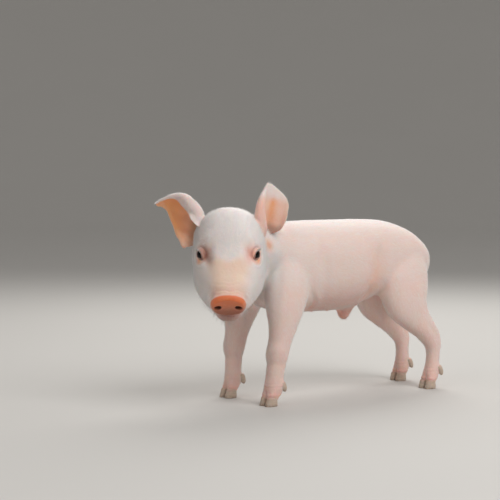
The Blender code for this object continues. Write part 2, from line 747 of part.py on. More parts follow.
def hoof(name, pair, side, turn):
    """One hoof: half-round in front, flat underneath, leaning back towards its top."""
    x, y = foot_place(pair, side)
    centre = Vector((x + turn * TOE_SPREAD, y - TOE_LEAD, 0))
    mesh = bmesh.new()
    rows = []
    for height, forward, half_long, half_wide in HOOF_SECTIONS:
        row = []
        for angle in np.linspace(0, 2 * math.pi, HOOF_SIDES, endpoint=False):
            c, s = math.cos(angle), math.sin(angle)
            point = (math.copysign(abs(c)**HOOF_SQUARING[0], c) * half_wide,
                     math.copysign(abs(s)**HOOF_SQUARING[1], s) * half_long - forward, height)
            row.append(mesh.verts.new(centre + Vector(point)))
        rows.append(row)
    for low, high in zip(rows, rows[1:]):
        for k in range(HOOF_SIDES):
            n = (k + 1) % HOOF_SIDES
            mesh.faces.new((low[k], low[n], high[n], high[k]))
    mesh.faces.new(list(reversed(rows[0])))
    mesh.faces.new(rows[-1])
    return object_from(name, mesh)


def dewclaw(name, pair, side, turn, body):
    """A small blunt claw behind the pastern, pointing down and back."""
    x, y = foot_place(pair, side)
    aside, back, height, width, depth = np.array(DEWCLAW_SECTIONS).T
    centres = np.column_stack([x + turn * aside, y + back, height])
    across, ahead = upright_frames(centres, (1, 0, 0))
    mesh = bmesh.new()
    loft(mesh, centres, across, ahead, width, depth, depth, sides=DEWCLAW_SIDES)
    return one_body(cut(object_from(name, mesh), body))


# ---------------------------------------------------------------- putting the piglet together
def finish(thing, look):
    thing.data.materials.clear()
    thing.data.materials.append(look)
    thing.data.transform(Matrix.Translation((-FLOOR_CENTRE[0], -FLOOR_CENTRE[1], 0)))
    thing.data.shade_smooth()
    thing.data.set_sharp_from_angle(angle=math.radians(SHARP))


def main():
    for old in list(bpy.data.objects):
        bpy.data.objects.remove(old)
    skin = material("skin", (0.80, 0.53, 0.47), 0.55)
    dark = material("eye", (0.02, 0.012, 0.010), 0.12)
    horn = material("horn", (0.62, 0.46, 0.36), 0.45)

    whole = whole_body()
    body = grown(whole)
    pieces = parted(whole)
    open_face(pieces["head"])
    flesh = list(pieces.values())
    for side, word in ((1, "left"), (-1, "right")):
        flesh.append(ear("ear_" + word, side, EAR_POSES[word], body))
    flesh.append(tail(body))
    horns = []
    for pair, side, name in LEGS:
        for turn, place in ((side, "outer"), (-side, "inner")):
            horns.append(hoof(name + "_hoof_" + place, pair, side, turn))
            horns.append(dewclaw(name + "_dewclaw_" + place, pair, side, turn, body))
    eyes = []
    for side, word in ((1, "left"), (-1, "right")):
        look = in_face(side, *EYE_LOOK)
        eyes.append(ball("eye_" + word, eye_place(side), EYE_RADIUS, look))
    remove(whole, body)
    for things, look in ((flesh, skin), (horns, horn), (eyes, dark)):
        for thing in things:
            finish(thing, look)


main()
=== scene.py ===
"""Looks of the standing piglet: one soft skin, eyes, hooves and a short white coat.

The file is laid out as an add-on and is run as a script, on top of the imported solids.
"""

import math

import bmesh
import bpy
import numpy as np
from bpy.props import FloatProperty, FloatVectorProperty, IntProperty, PointerProperty
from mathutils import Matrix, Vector


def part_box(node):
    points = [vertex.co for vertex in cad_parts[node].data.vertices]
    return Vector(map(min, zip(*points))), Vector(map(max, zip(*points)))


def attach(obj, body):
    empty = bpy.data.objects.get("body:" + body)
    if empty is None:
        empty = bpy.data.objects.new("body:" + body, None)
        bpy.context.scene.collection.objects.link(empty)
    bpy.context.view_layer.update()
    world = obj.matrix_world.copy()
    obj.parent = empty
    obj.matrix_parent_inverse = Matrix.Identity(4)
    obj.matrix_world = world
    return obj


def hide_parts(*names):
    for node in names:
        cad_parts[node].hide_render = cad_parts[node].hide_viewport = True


bl_info = {
    "name": "Piglet looks",
    "version": (1, 0, 0),
    "blender": (4, 5, 0),
    "location": "View3D > Sidebar > Piglet",
    "description": "Skin, eyes, hooves, coat and studio for the standing piglet",
    "category": "Object",
}

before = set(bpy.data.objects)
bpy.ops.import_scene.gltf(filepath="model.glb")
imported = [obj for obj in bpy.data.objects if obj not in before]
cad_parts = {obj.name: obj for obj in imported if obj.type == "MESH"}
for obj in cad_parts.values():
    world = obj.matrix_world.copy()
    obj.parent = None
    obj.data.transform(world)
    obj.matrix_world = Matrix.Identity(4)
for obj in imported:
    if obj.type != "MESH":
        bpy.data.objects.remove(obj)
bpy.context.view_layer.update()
BODY = "root"


# ---- the head's own directions
HEAD_PITCH = math.radians(43.0)  # how far the snout points down
EYE_CENTRE = np.array((0.0009, 0.0258, 0.0107))  # an eye along, beside and over the brow point
EYE_LOOK = (0.42, 0.80, 0.42)  # where the left eye looks, in the head's directions
EYE_RADIUS = 0.0079
EYE_STANDS_OUT = {1: 0.0, -1: 0.0008}  # how far beyond its solid each eyeball sits
BROW_PLACE = np.array((0.0282, -0.1904, 0.1638))  # the brow point in the sections' own frame


def unit(vector):
    """Vectors divided by their length."""
    vector = np.asarray(vector, float)
    return vector / np.linalg.norm(vector, axis=-1, keepdims=True)


def middle_of(node):
    """The middle of a solid's box."""
    return np.mean(np.array(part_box(node)), axis=0)


LEFT = unit(middle_of("eye_left") - middle_of("eye_right"))
FACING = np.array((LEFT[1], -LEFT[0], 0.0))
FORWARD = FACING * math.cos(HEAD_PITCH) - np.array((0, 0, 1)) * math.sin(HEAD_PITCH)
UP = np.cross(FORWARD, LEFT)
BROW = ((middle_of("eye_left") + middle_of("eye_right")) / 2
        - FORWARD * EYE_CENTRE[0] - UP * EYE_CENTRE[2])
SHIFT = BROW - BROW_PLACE  # from the sections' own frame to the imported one


def in_head(along, left, up):
    """Points given along the head's own directions, from the brow point."""
    return (BROW + np.multiply.outer(along, FORWARD) + np.multiply.outer(left, LEFT)
            + np.multiply.outer(up, UP))


def of_head(points):
    """Points' places along the head, to its left and up, from the brow point."""
    away = points - BROW
    return away @ FORWARD, away @ LEFT, away @ UP


def head_way(side, along, left, up):
    """A direction in the head, mirrored for the right side (side -1)."""
    return unit(FORWARD * along + LEFT * left * side + UP * up)


# ---- small formulas
def ramp(low, high, value):
    """0 before low, 1 after high, with a soft S between."""
    t = np.clip((value - low) / (high - low), 0, 1)
    return t * t * (3 - 2 * t)


def bell(value, width):
    """A soft bump of height 1: e to the minus square of value over width."""
    return np.exp(-(np.asarray(value) / width) ** 2)


def turns(count):
    """Angles once round a circle, as a row."""
    return np.linspace(0, 2 * math.pi, count, endpoint=False)[None, :]


def rounded(wave, power):
    """A wave between -1 and 1 raised to a power, sign kept: a low power squares a circle."""
    return np.sign(wave) * abs(wave) ** power


def through(rows, steps):
    """Rows of numbers resampled on a smooth (Catmull-Rom) curve through them."""
    rows = np.asarray(rows, float)
    ends = np.vstack([2 * rows[0] - rows[1], rows, 2 * rows[-1] - rows[-2]])
    a, b, c, d = (ends[k:k + len(rows) - 1, None, :] for k in range(4))
    t = np.linspace(0, 1, steps, endpoint=False)[None, :, None]
    curve = 0.5 * (2 * b + (c - a) * t + (2 * a - 5 * b + 4 * c - d) * t**2
                   + (3 * b - a - 3 * c + d) * t**3)
    return np.vstack([curve.reshape(-1, rows.shape[1]), rows[-1]])


# ---- sections of the body
#   y, top of the section, bottom of the section, half width
TRUNK_SECTIONS = (
    (-0.152, 0.168, 0.136, 0.014),
    (-0.143, 0.188, 0.117, 0.029),
    (-0.118, 0.2030, 0.1040, 0.0395),
    (-0.080, 0.2065, 0.1000, 0.0440),
    (-0.030, 0.2072, 0.0990, 0.0470),
    (-0.006, 0.2074, 0.1020, 0.0468),
    (0.010, 0.2075, 0.1075, 0.0463),
    (0.045, 0.2055, 0.1190, 0.0420),
    (0.078, 0.1960, 0.1260, 0.0365),
    (0.099, 0.1840, 0.1270, 0.0300),
    (0.1125, 0.1735, 0.1370, 0.0190),
    (0.1165, 0.1660, 0.1460, 0.0090),
)
NECK_START = (-0.0850, 0.1540)
NECK_BEND = (-0.1330, 0.1620)
NECK_END = (-0.034, -0.006)
NECK_RUN_IN = 0.018
#   share of the neck's length, half width, height over its middle line and depth under it
NECK_SECTIONS = (
    (0.0, 0.0400, 0.0480, 0.0460),
    (0.5, 0.0380, 0.0385, 0.0420),
    (1.0, 0.0360, 0.0310, 0.0380),
)
#   along the head from the brow point, then heights from its axis: top, widest level, bottom;
#   half width, squareness
HEAD_SECTIONS = (
    (-0.061, 0.0180, -0.004, -0.0260, 0.0230, 2.0),
    (-0.055, 0.0290, -0.005, -0.0350, 0.0310, 2.0),
    (-0.042, 0.0380, -0.006, -0.0410, 0.0385, 2.2),
    (-0.024, 0.0405, -0.012, -0.0450, 0.0408, 2.3),
    (-0.006, 0.0360, -0.018, -0.0475, 0.0402, 2.4),
    (0.008, 0.0285, -0.022, -0.0480, 0.0388, 2.4),
    (0.022, 0.0220, -0.020, -0.0460, 0.0352, 2.5),
    (0.036, 0.0178, -0.016, -0.0410, 0.0290, 2.6),
    (0.047, 0.0160, -0.010, -0.0355, 0.0230, 2.5),
    (0.054, 0.0150, -0.008, -0.0260, 0.0185, 2.1),
)
#   along the head, top, bottom, half width of the lower jaw
JAW_SECTIONS = (
    (-0.010, -0.020, -0.0440, 0.0260),
    (0.020, -0.020, -0.0440, 0.0240),
    (0.038, -0.020, -0.0395, 0.0200),
    (0.050, -0.021, -0.0365, 0.0160),
    (0.056, -0.022, -0.0350, 0.0120),
    (0.0595, -0.0245, -0.0325, 0.0070),
)
#   along the head, half height, half width of the snout and its disc
SNOUT_SECTIONS = (
    (0.0460, 0.0130, 0.0155),
    (0.0560, 0.0133, 0.0172),
    (0.0600, 0.0142, 0.0192),
    (0.0640, 0.0142, 0.0192),
    (0.0660, 0.0128, 0.0175),
)
SNOUT_DROP = 0.0010
SNOUT_SAG = 0.0020  # how far the soft snout hangs below its solid
#   along the head, left and up: the closed mouth's line under the skin, corner to middle
MOUTH_LINE = (
    (0.008, 0.0362, -0.0235),
    (0.020, 0.0330, -0.0270),
    (0.034, 0.0272, -0.0265),
    (0.045, 0.0185, -0.0240),
    (0.0515, 0.0000, -0.0225),
)
#   x, y, z, half width, half depth fore and aft, as on the left side
FRONT_LEG = (
    (0.0160, -0.1000, 0.1830, 0.0100, 0.0160),
    (0.0220, -0.1040, 0.1660, 0.0165, 0.0250),
    (0.0290, -0.1110, 0.1380, 0.0190, 0.0285),
    (0.0335, -0.1185, 0.1100, 0.0175, 0.0250),
    (0.0355, -0.1225, 0.0900, 0.0145, 0.0190),
    (0.0365, -0.1265, 0.0740, 0.0125, 0.0148),
    (0.0370, -0.1305, 0.0600, 0.0122, 0.0138),
    (0.0370, -0.1330, 0.0440, 0.0104, 0.0115),
    (0.0370, -0.1350, 0.0300, 0.0102, 0.0105),
    (0.0370, -0.1360, 0.0220, 0.0116, 0.0116),
    (0.0370, -0.1380, 0.0160, 0.0110, 0.0105),
)
HIND_LEG = (
    (0.0120, 0.0640, 0.1860, 0.0080, 0.0160),
    (0.0180, 0.0650, 0.1700, 0.0170, 0.0290),
    (0.0250, 0.0620, 0.1480, 0.0205, 0.0370),
    (0.0310, 0.0590, 0.1250, 0.0195, 0.0360),
    (0.0340, 0.0630, 0.1050, 0.0170, 0.0310),
    (0.0355, 0.0745, 0.0880, 0.0140, 0.0215),
    (0.0365, 0.0880, 0.0740, 0.0122, 0.0165),
    (0.0370, 0.0990, 0.0600, 0.0108, 0.0140),
    (0.0370, 0.1020, 0.0460, 0.0090, 0.0098),
    (0.0370, 0.1010, 0.0300, 0.0092, 0.0094),
    (0.0370, 0.1000, 0.0220, 0.0108, 0.0108),
    (0.0370, 0.0980, 0.0160, 0.0102, 0.0102),
)
#   how far a leg's top and foot are moved: sideways and along, as (x, y)
LEG_SHIFTS = {
    ("front", 1): ((0, 0), (0, 0)),
    ("front", -1): ((-0.001, -0.012), (-0.003, -0.004)),
    ("hind", 1): ((0, 0), (0, 0)),
    ("hind", -1): ((0, 0.010), (0.003, 0.014)),
}
KNEE_HEIGHT = 0.090  # below it a leg's shift runs from the top's to the foot's
LEGS = (
    ("front", 1, "foreleg_left"), ("front", -1, "foreleg_right"),
    ("hind", 1, "hindleg_left"), ("hind", -1, "hindleg_right"),
)
TOE_SPREAD = 0.0053  # a toe's end beside the foot's middle
TOE_LEAD = 0.0035  # and ahead of it
#   sideways from the foot's middle, backwards, height, half width, half depth of a toe
TOE_SECTIONS = (
    (0.0035, 0.0020, 0.0260, 0.0056, 0.0080),
    (0.0048, -0.0010, 0.0160, 0.0056, 0.0080),
    (TOE_SPREAD, -TOE_LEAD, 0.0060, 0.0052, 0.0074),
)
#   y, z, half width, half depth of the nub under the belly
SHEATH = (
    (-0.0050, 0.1080, 0.0120, 0.0165),
    (-0.0072, 0.0985, 0.0086, 0.0106),
    (-0.0092, 0.0905, 0.0070, 0.0080),
    (-0.0104, 0.0862, 0.0042, 0.0046),
)
#   x, y, z, radius down the tail
TAIL = (
    (0.000, 0.1050, 0.1740, 0.0050),
    (-0.003, 0.1180, 0.1640, 0.0046),
    (-0.008, 0.1250, 0.1500, 0.0040),
    (-0.014, 0.1260, 0.1360, 0.0035),
    (-0.018, 0.1240, 0.1240, 0.0030),
    (-0.016, 0.1250, 0.1130, 0.0026),
    (-0.010, 0.1280, 0.1060, 0.0018),
)
#   share of the ear's length; half width towards the forehead; towards the cheek; curl radius;
#   thickness; width of the rim strip that lies rolled forward
EAR_ROWS = {
    "ear_right": (
        (-0.20, 0.0100, 0.0100, 0.0130, 0.0034, 0.0180),
        (-0.07, 0.0185, 0.0200, 0.0150, 0.0034, 0.0180),
        (0.08, 0.0263, 0.0357, 0.0185, 0.0030, 0.0165),
        (0.17, 0.0311, 0.0440, 0.0200, 0.0028, 0.0125),
        (0.28, 0.0328, 0.0400, 0.0215, 0.0026, 0.0085),
        (0.42, 0.0272, 0.0246, 0.0245, 0.0023, 0.0035),
        (0.52, 0.0218, 0.0124, 0.0260, 0.0022, 0.0012),
        (0.60, 0.0170, 0.0044, 0.0270, 0.0022, 0.0006),
        (0.72, 0.0098, 0.0014, 0.0285, 0.0021, 0.0004),
        (0.86, 0.0042, 0.0010, 0.0300, 0.0020, 0.0003),
        (1.00, 0.0012, 0.0012, 0.0300, 0.0018, 0.0000),
    ),
    "ear_left": (
        (-0.20, 0.0110, 0.0110, 0.0130, 0.0034, 0.0060),
        (-0.07, 0.0165, 0.0190, 0.0150, 0.0034, 0.0085),
        (0.08, 0.0195, 0.0270, 0.0185, 0.0030, 0.0090),
        (0.26, 0.0230, 0.0280, 0.0215, 0.0026, 0.0080),
        (0.46, 0.0225, 0.0250, 0.0250, 0.0023, 0.0060),
        (0.66, 0.0165, 0.0235, 0.0280, 0.0022, 0.0032),
        (0.84, 0.0090, 0.0172, 0.0300, 0.0021, 0.0010),
        (1.00, 0.0030, 0.0040, 0.0300, 0.0019, 0.0000),
    ),
}
#   side; base and tip (along, left, up from the brow point); twist of the opening in degrees;
#   scale of the curl; sway of the middle line towards the cheek; the fold back: how far out it
#   starts, its slant, how far it turns at the tip and at the rim in degrees, its radius
EARS = {
    "ear_right": (-1, (-0.045, -0.0340, 0.0090), (-0.0610, -0.0985, 0.0195), 0, 1.5, -0.0100,
                  (0.0220, 38, 56, 100, 0.005)),
    "ear_left": (1, (-0.045, 0.0330, 0.0080), (-0.0790, 0.0450, 0.0430), 38, 0.9, 0.0050,
                 (0.0500, 30, 40, 40, 0.008)),
}
EAR_SIDES = 88
EAR_SKIN, TAIL_SKIN, EAR_INSIDE = 1, 2, 3  # marks of the joined faces; 0 is plain skin
ROLL_RADIUS = 0.0028
ROLL_TURN = math.radians(155)


# ---- surfaces from arrays
def sleeve(rings):
    """Closes rings of points, an array (rings, points, 3), into a skin with a point at each end.

    Returns the points, the four-sided faces between the rings and the three-sided end faces.
    """
    count, sides = rings.shape[:2]
    low = np.arange(count - 1)[:, None] * sides
    here = np.arange(sides)[None, :]
    after = (here + 1) % sides
    quads = np.stack([low + here, low + after, low + sides + after, low + sides + here], -1)
    ends, last = count * sides, (count - 1) * sides
    here, after = here[0], after[0]
    fans = np.vstack([
        np.column_stack([after, here, np.full(sides, ends)]),
        np.column_stack([last + here, last + after, np.full(sides, ends + 1)]),
    ])
    points = np.vstack([rings.reshape(-1, 3), rings[0].mean(0), rings[-1].mean(0)])
    return points, quads.reshape(-1, 4), fans


def tube(centres, across, above, half_width, rise, drop, square=2.0, sides=40):
    """A closed tube of soft ovals.

    Point k of ring i is centre + across w C + above h S, where C and S are the cosine and sine of
    2 pi k / sides raised to 2 / square with their signs kept, w is the half width, and h is the
    rise where S is positive and the drop where it isn't.
    """
    power = 2 / np.broadcast_to(square, len(centres))[:, None]
    s = rounded(np.sin(turns(sides)), power)
    height = np.where(s > 0, rise[:, None], drop[:, None]) * s
    width = half_width[:, None] * rounded(np.cos(turns(sides)), power)
    return sleeve(centres[:, None] + across[:, None] * width[..., None]
                  + above[:, None] * height[..., None])


def linked(name, data):
    """A new object of the scene that shows the given data."""
    made = bpy.data.objects.new(name, data)
    bpy.context.scene.collection.objects.link(made)
    return made


def upright(centres):
    """Section directions of a tube that runs up or down: across it, and ahead."""
    across = np.tile((1.0, 0.0, 0.0), (len(centres), 1))
    ahead = unit(np.cross(across, np.gradient(centres, axis=0)))
    return across, ahead


def gathered(parts):
    """Several skins as one: their points, and their faces as a list."""
    faces, start = [], 0
    for points, quads, fans in parts:
        faces += (quads + start).tolist() + (fans + start).tolist()
        start += len(points)
    return np.vstack([part[0] for part in parts]), faces


def new_object(name, points, faces):
    """A smooth mesh object from an array of points and a list of faces."""
    mesh = bpy.data.meshes.new(name)
    mesh.from_pydata(points.tolist(), [], faces)
    mesh.shade_smooth()
    return linked(name, mesh)


def sleeve_object(name, points, quads, fans):
    """A finished closed object from a sleeve, with its faces pointing out."""
    triangles = np.vstack([quads[:, [0, 1, 2]], quads[:, [0, 2, 3]], fans])
    volume = np.einsum("ij,ij->", points[triangles[:, 0]],
                       np.cross(points[triangles[:, 1]], points[triangles[:, 2]]))
    step = 1 if volume > 0 else -1
    return new_object(name, points, quads[:, ::step].tolist() + fans[:, ::step].tolist())


def settled(thing):
    """Gives an object the mesh that its modifiers make, and drops the modifiers."""
    bpy.context.view_layer.update()
    ready = thing.evaluated_get(bpy.context.evaluated_depsgraph_get())
    mesh = bpy.data.meshes.new_from_object(ready)
    old = thing.data
    thing.modifiers.clear()
    thing.data = mesh
    bpy.data.meshes.remove(old)
    mesh.name = thing.name
    return thing


def drop(*things):
    """Deletes objects with their meshes."""
    for thing in things:
        mesh = thing.data
        bpy.data.objects.remove(thing)
        bpy.data.meshes.remove(mesh)


def read(items, field, width, kind=np.float32):
    """One field of all the items of a mesh: a row of numbers, or of rows where width is over 1."""
    found = np.empty(len(items) * width, kind)
    items.foreach_get(field, found)
    found = found.astype(float) if kind is np.float32 else found
    return found.reshape(-1, width) if width > 1 else found


def places(mesh):
    """A mesh's points."""
    return read(mesh.vertices, "co", 3)


def place(mesh, points):
    """Moves a mesh's points."""
    mesh.vertices.foreach_set("co", points.astype(np.float32).ravel())
    mesh.update()


def normals(mesh):
    """The direction out of the mesh at each point."""
    return read(mesh.vertex_normals, "vector", 3)


def edges_of(mesh):
    """The two ends of every edge."""
    return read(mesh.edges, "vertices", 2, np.int32)


def keep_value(mesh, name, values):
    """Writes one value for each point onto a mesh as a named attribute."""
    made = mesh.attributes.new(name, "FLOAT", "POINT")
    made.data.foreach_set("value", values.astype(np.float32))


def neighbours(edges, count):
    """Every edge's ends, both ways round, and how many neighbours each point has."""
    a, b = edges.T
    ends, others = np.concatenate([a, b]), np.concatenate([b, a])
    return ends, others, np.maximum(np.bincount(ends, minlength=count), 1)


def spread(values, edges, count, rounds):
    """Lets each point's value run into its neighbours' by averaging, round by round."""
    ends, others, number = neighbours(edges, count)
    for _ in range(rounds):
        mean = np.bincount(ends, values[others], count) / number
        values = 0.5 * values + 0.5 * mean
    return values


def relaxed(points, edges, weight, rounds):
    """Moves each point towards the mean of its neighbours, as far as its weight says."""
    count = len(points)
    ends, others, number = neighbours(edges, count)
    weight = np.broadcast_to(weight, count)
    for _ in range(rounds):
        mean = np.column_stack([
            np.bincount(ends, points[others, k], count) / number for k in range(3)
        ])
        points = points + (mean - points) * weight[:, None]
    return points


# ---- the body's first shape
def trunk_part():
    """A tube of soft ovals along the back, through the trunk's sections."""
    y, top, bottom, width = through(TRUNK_SECTIONS, 5).T
    middle = (top + bottom) / 2
    count = len(y)
    return tube(np.column_stack([0 * y, y, middle]) + SHIFT, np.tile((1.0, 0, 0), (count, 1)),
                np.tile((0, 0, 1.0), (count, 1)), width, top - middle, middle - bottom, 2.25, 64)


def neck_part():
    """A thick tube along a Bezier curve from the trunk's line into the head's."""
    start, bend = (np.array((0, *place)) + SHIFT for place in (NECK_START, NECK_BEND))
    end = in_head(NECK_END[0], 0, NECK_END[1])
    run_in = end - FORWARD * NECK_RUN_IN
    t = np.linspace(0, 1, 25)[:, None]
    centres = (start * (1 - t)**3 + bend * 3 * t * (1 - t)**2 + run_in * 3 * t * t * (1 - t)
               + end * t**3)
    along = unit(np.gradient(centres, axis=0))
    across = unit(np.cross(along, (1 - t) * np.array((0, 0, 1)) + t * UP))
    share, width, rise, fall = np.array(NECK_SECTIONS).T
    t = t[:, 0]
    return tube(centres, across, np.cross(across, along), np.interp(t, share, width),
                np.interp(t, share, rise), np.interp(t, share, fall), 2.0, 56)


def head_parts():
    """The skull with its cheeks, the lower jaw, and the snout that ends in its disc."""
    parts = []
    along, top, level, bottom, width, square = through(HEAD_SECTIONS, 5).T
    parts.append((along, level, width, top - level, level - bottom, square))
    along, top, bottom, width = through(JAW_SECTIONS, 5).T
    parts.append((along, (top + bottom) / 2, width, (top - bottom) / 2, (top - bottom) / 2, 2.2))
    along, height, width = through(SNOUT_SECTIONS, 4).T
    parts.append((along, 0 * along - SNOUT_DROP, width, height, height, 2.3))
    return [
        tube(in_head(along, 0 * along, level), np.tile(LEFT, (len(along), 1)),
             np.tile(UP, (len(along), 1)), width, rise, fall, square, 64)
        for along, level, width, rise, fall, square in parts
    ]


def leg_rows(pair, side):
    """The sections of one leg from the top down, shifted as that leg stands."""
    rows = through(FRONT_LEG if pair == "front" else HIND_LEG, 5)
    rows[:, 0] *= side
    top, foot = (np.array(shift) for shift in LEG_SHIFTS[pair, side])
    share = np.interp(rows[:, 2], [0.016, KNEE_HEIGHT, 0.15], [0, 1, 1])[:, None]
    fade = np.interp(rows[:, 2], [0.12, 0.19], [1, 0.3])[:, None]
    rows[:, :2] += (foot + (top - foot) * share) * fade
    rows[:, :3] += SHIFT
    return rows


def leg_at(height, rows, *columns):
    """A leg's values at given heights, one array for each named column of its rows."""
    return [np.interp(height, rows[::-1, 2], rows[::-1, k]) for k in columns]


def leg_parts(pair, side):
    """A leg, and the two toes that its hooves carry on to the floor."""
    rows = leg_rows(pair, side)
    parts = [tube(rows[:, :3], *upright(rows[:, :3]), rows[:, 3], rows[:, 4], rows[:, 4], 2.1, 36)]
    foot = np.array((*rows[-1, :2], 0))
    for turn in (-1, 1):
        rows = through(TOE_SECTIONS, 4)
        centres = rows[:, :3] * (turn, 1, 1) + foot
        parts.append(tube(centres, *upright(centres), rows[:, 3], rows[:, 4], rows[:, 4], 2.0, 24))
    return parts


def sheath_part():
    """A short tube of ovals under the belly."""
    y, z, width, depth = through(SHEATH, 4).T
    centres = np.column_stack([0 * y, y, z]) + SHIFT
    return tube(centres, *upright(centres), width, depth, depth, 2.0, 24)


def tail_part():
    """A thin round tube that hangs in a slight curl."""
    rows = through(TAIL, 6)
    rows[:, :3] += SHIFT
    return tube(rows[:, :3], *upright(rows[:, :3]), rows[:, 3], rows[:, 3], rows[:, 3], 2.0, 20)


# ---- ears
def folded(along, aside, fold):
    """Flat places with what lies past a slanting line bent back round a small radius.

    The bend is gentler at the tip than at the cheek's rim.  Returns the new places along and
    aside, and how far behind the leaf each one lies.
    """
    start, slant, tip_angle, rim_angle, radius = fold
    slant = math.radians(slant)
    angle = np.radians(np.interp(aside, (-0.004, 0.008), (tip_angle, rim_angle)))
    past = np.maximum(along * math.cos(slant) + aside * math.sin(slant) - start, 0)
    bent = np.minimum(past / radius, angle)
    rest = past - bent * radius
    forward = radius * np.sin(bent) + rest * np.cos(bent)
    behind = radius * (1 - np.cos(bent)) + rest * np.sin(bent)
    return (along + (forward - past) * math.cos(slant),
            aside + (forward - past) * math.sin(slant), behind)


def ear_frame(name):
    """An ear's base, axis, direction across it towards the cheek, opening and length."""
    side, base, tip, twist = EARS[name][:4]
    base, tip = in_head(*base), in_head(*tip)
    axis = unit(tip - base)
    facing = unit(FACING - axis * (FACING @ axis))
    cheekward = np.cross(axis, facing) * side
    turn = math.radians(twist)
    across = cheekward * math.cos(turn) - facing * math.sin(turn)
    opening = facing * math.cos(turn) + cheekward * math.sin(turn)
    return base, axis, across, opening, np.linalg.norm(tip - base)


def ear_part(name):
    """A curled leaf with a soft rim, folded back at its tip and rolled forward along one edge.

    The leaf's middle surface maps p along its axis and q aside to
    base + p axis + r sin(q / r) across + (r (1 - cos(q / r)) - behind) opening, with r the curl's
    radius.  Past the inner edge it turns forward round a small radius.  A closed loop runs up the
    front and down the back, t going once round: q is the rim's place times cos t, and the point
    stands off the middle surface by half the thickness times sin t.
    """
    side, _, _, _, curl, sway, fold = EARS[name]
    base, axis, across, opening, length = ear_frame(name)
    rows = through(EAR_ROWS[name], 9)
    t = turns(EAR_SIDES)
    v = np.cos(t)
    share, inner, outer, _, thick, strip = rows.T[:, :, None]

    def leaf(along, aside):
        """Middle surface at flat places along and aside."""
        near = np.interp(along / length, rows[:, 0], rows[:, 3]) * curl
        p, q, behind = folded(along, aside, fold)
        return (base + p[..., None] * axis + (near * np.sin(q / near))[..., None] * across
                + (near * (1 - np.cos(q / near)) - behind)[..., None] * opening)

    def over(along, aside):
        """Direction off the middle surface, from its slopes both ways."""
        step = 0.0002
        one = leaf(along, aside + step) - leaf(along, aside - step)
        two = leaf(along + step, aside) - leaf(along - step, aside)
        return unit(np.cross(one, two)) * side

    def sheet(v):
        """Middle surface with its rolled edge, at v from -1 to 1 across."""
        v = np.clip(v, -1, 1)
        tight = ROLL_RADIUS * ramp(1.02, 0.45, share) * (1 + ramp(0.5, 0.0, share)) + 0.0004
        edge = np.maximum(inner - tight, 0.0006)
        flat = np.where(v < 0, (edge + tight * ROLL_TURN * ramp(1.0, 0.9, share) + strip) * v,
                        outer * v)
        past = np.maximum(-flat - edge, 0)
        turn = np.minimum(past / tight, ROLL_TURN)
        rest = past - turn * tight
        aside = np.maximum(flat, -edge) - tight * np.sin(turn) - rest * np.cos(turn)
        lift = tight * (1 - np.cos(turn)) + rest * np.sin(turn)
        aside = aside + sway * 4 * share * (1 - share)
        along = share * length + 0 * v
        ridge = 0.0007 * np.cos(aside / 0.0026) * ramp(0.75, 0.1, share) * ramp(-0.02, 0.12, share)
        return leaf(along, aside) + (lift + ridge)[..., None] * over(along, aside)

    middle = sheet(v)
    sideways = sheet(v + 0.02) - sheet(v - 0.02)
    lengthways = np.gradient(middle, axis=0)
    normal = unit(np.cross(sideways, lengthways)) * side
    return sleeve(middle + (thick / 2 * rounded(np.sin(t), 0.7))[..., None] * normal)


# ---- sculpting the skin
VOXEL = 0.0021  # grid of the first remesh
EYE_OPENING = (0.0050, 0.0040)  # half width and half height of the gap between the lids
#   the gap's outline as shares of those, from the back corner over the top
EYE_OUTLINE = (
    (-0.88, -0.36), (-0.64, 0.56), (-0.22, 0.94), (0.36, 0.93), (0.96, 0.60), (1.30, 0.10),
    (0.72, -0.30), (0.20, -0.66), (-0.42, -0.80), (-0.88, -0.36),
)
LID = 0.0010  # thickness of the lids over the eyeball
#   folds under an eye: distance from its middle, waver of that, depth, width
LOWER_FOLDS = (
    (0.0078, 0.0, 0.00045, 0.0006), (0.0106, 0.0007, 0.00045, 0.0007),
    (0.0137, 0.0010, 0.00035, 0.0009),
)
#   soft rolls between them: distance, height, width
LOWER_ROLLS = ((0.0092, 0.00045, 0.0011), (0.0122, 0.00040, 0.0012))
#   wrinkles over the snout: place along the head, depth
SNOUT_WRINKLES = ((0.0555, 0.00045), (0.0495, 0.00018), (0.0455, 0.00012))
#   creases across the throat: place along the head, depth
NECK_CREASES = ((-0.034, 0.0007), (-0.047, 0.0009), (-0.060, 0.0007))
MOUTH_INSIDE = 0.006  # place in the muzzle that the lips run round
MOUTH_END = 0.0625  # furthest along the head that the lips reach
NOSTRIL = (0.0112, -0.0010)  # beside and over the disc's middle
NOSTRIL_SIZE = (0.0040, 0.0027)  # half width and half height
NOSTRIL_DEPTH = 0.0055
#   six pairs, each teat beside the middle and along the trunk
TEAT_PLACES = tuple((0.0135 + (0.0012 * k) % 0.002, -0.066 + 0.0215 * k) for k in range(6))


def eye_frame(side):
    """An eye's centre, its look, and the directions forward and up across its opening."""
    look = head_way(side, *EYE_LOOK)
    ahead = unit(FORWARD - look * (FORWARD @ look))
    over = unit(np.cross(look, ahead) * -side)
    beside = (EYE_CENTRE[1] + EYE_STANDS_OUT[side]) * side
    centre = in_head(EYE_CENTRE[0], beside, EYE_CENTRE[2])
    return centre, look, ahead, over


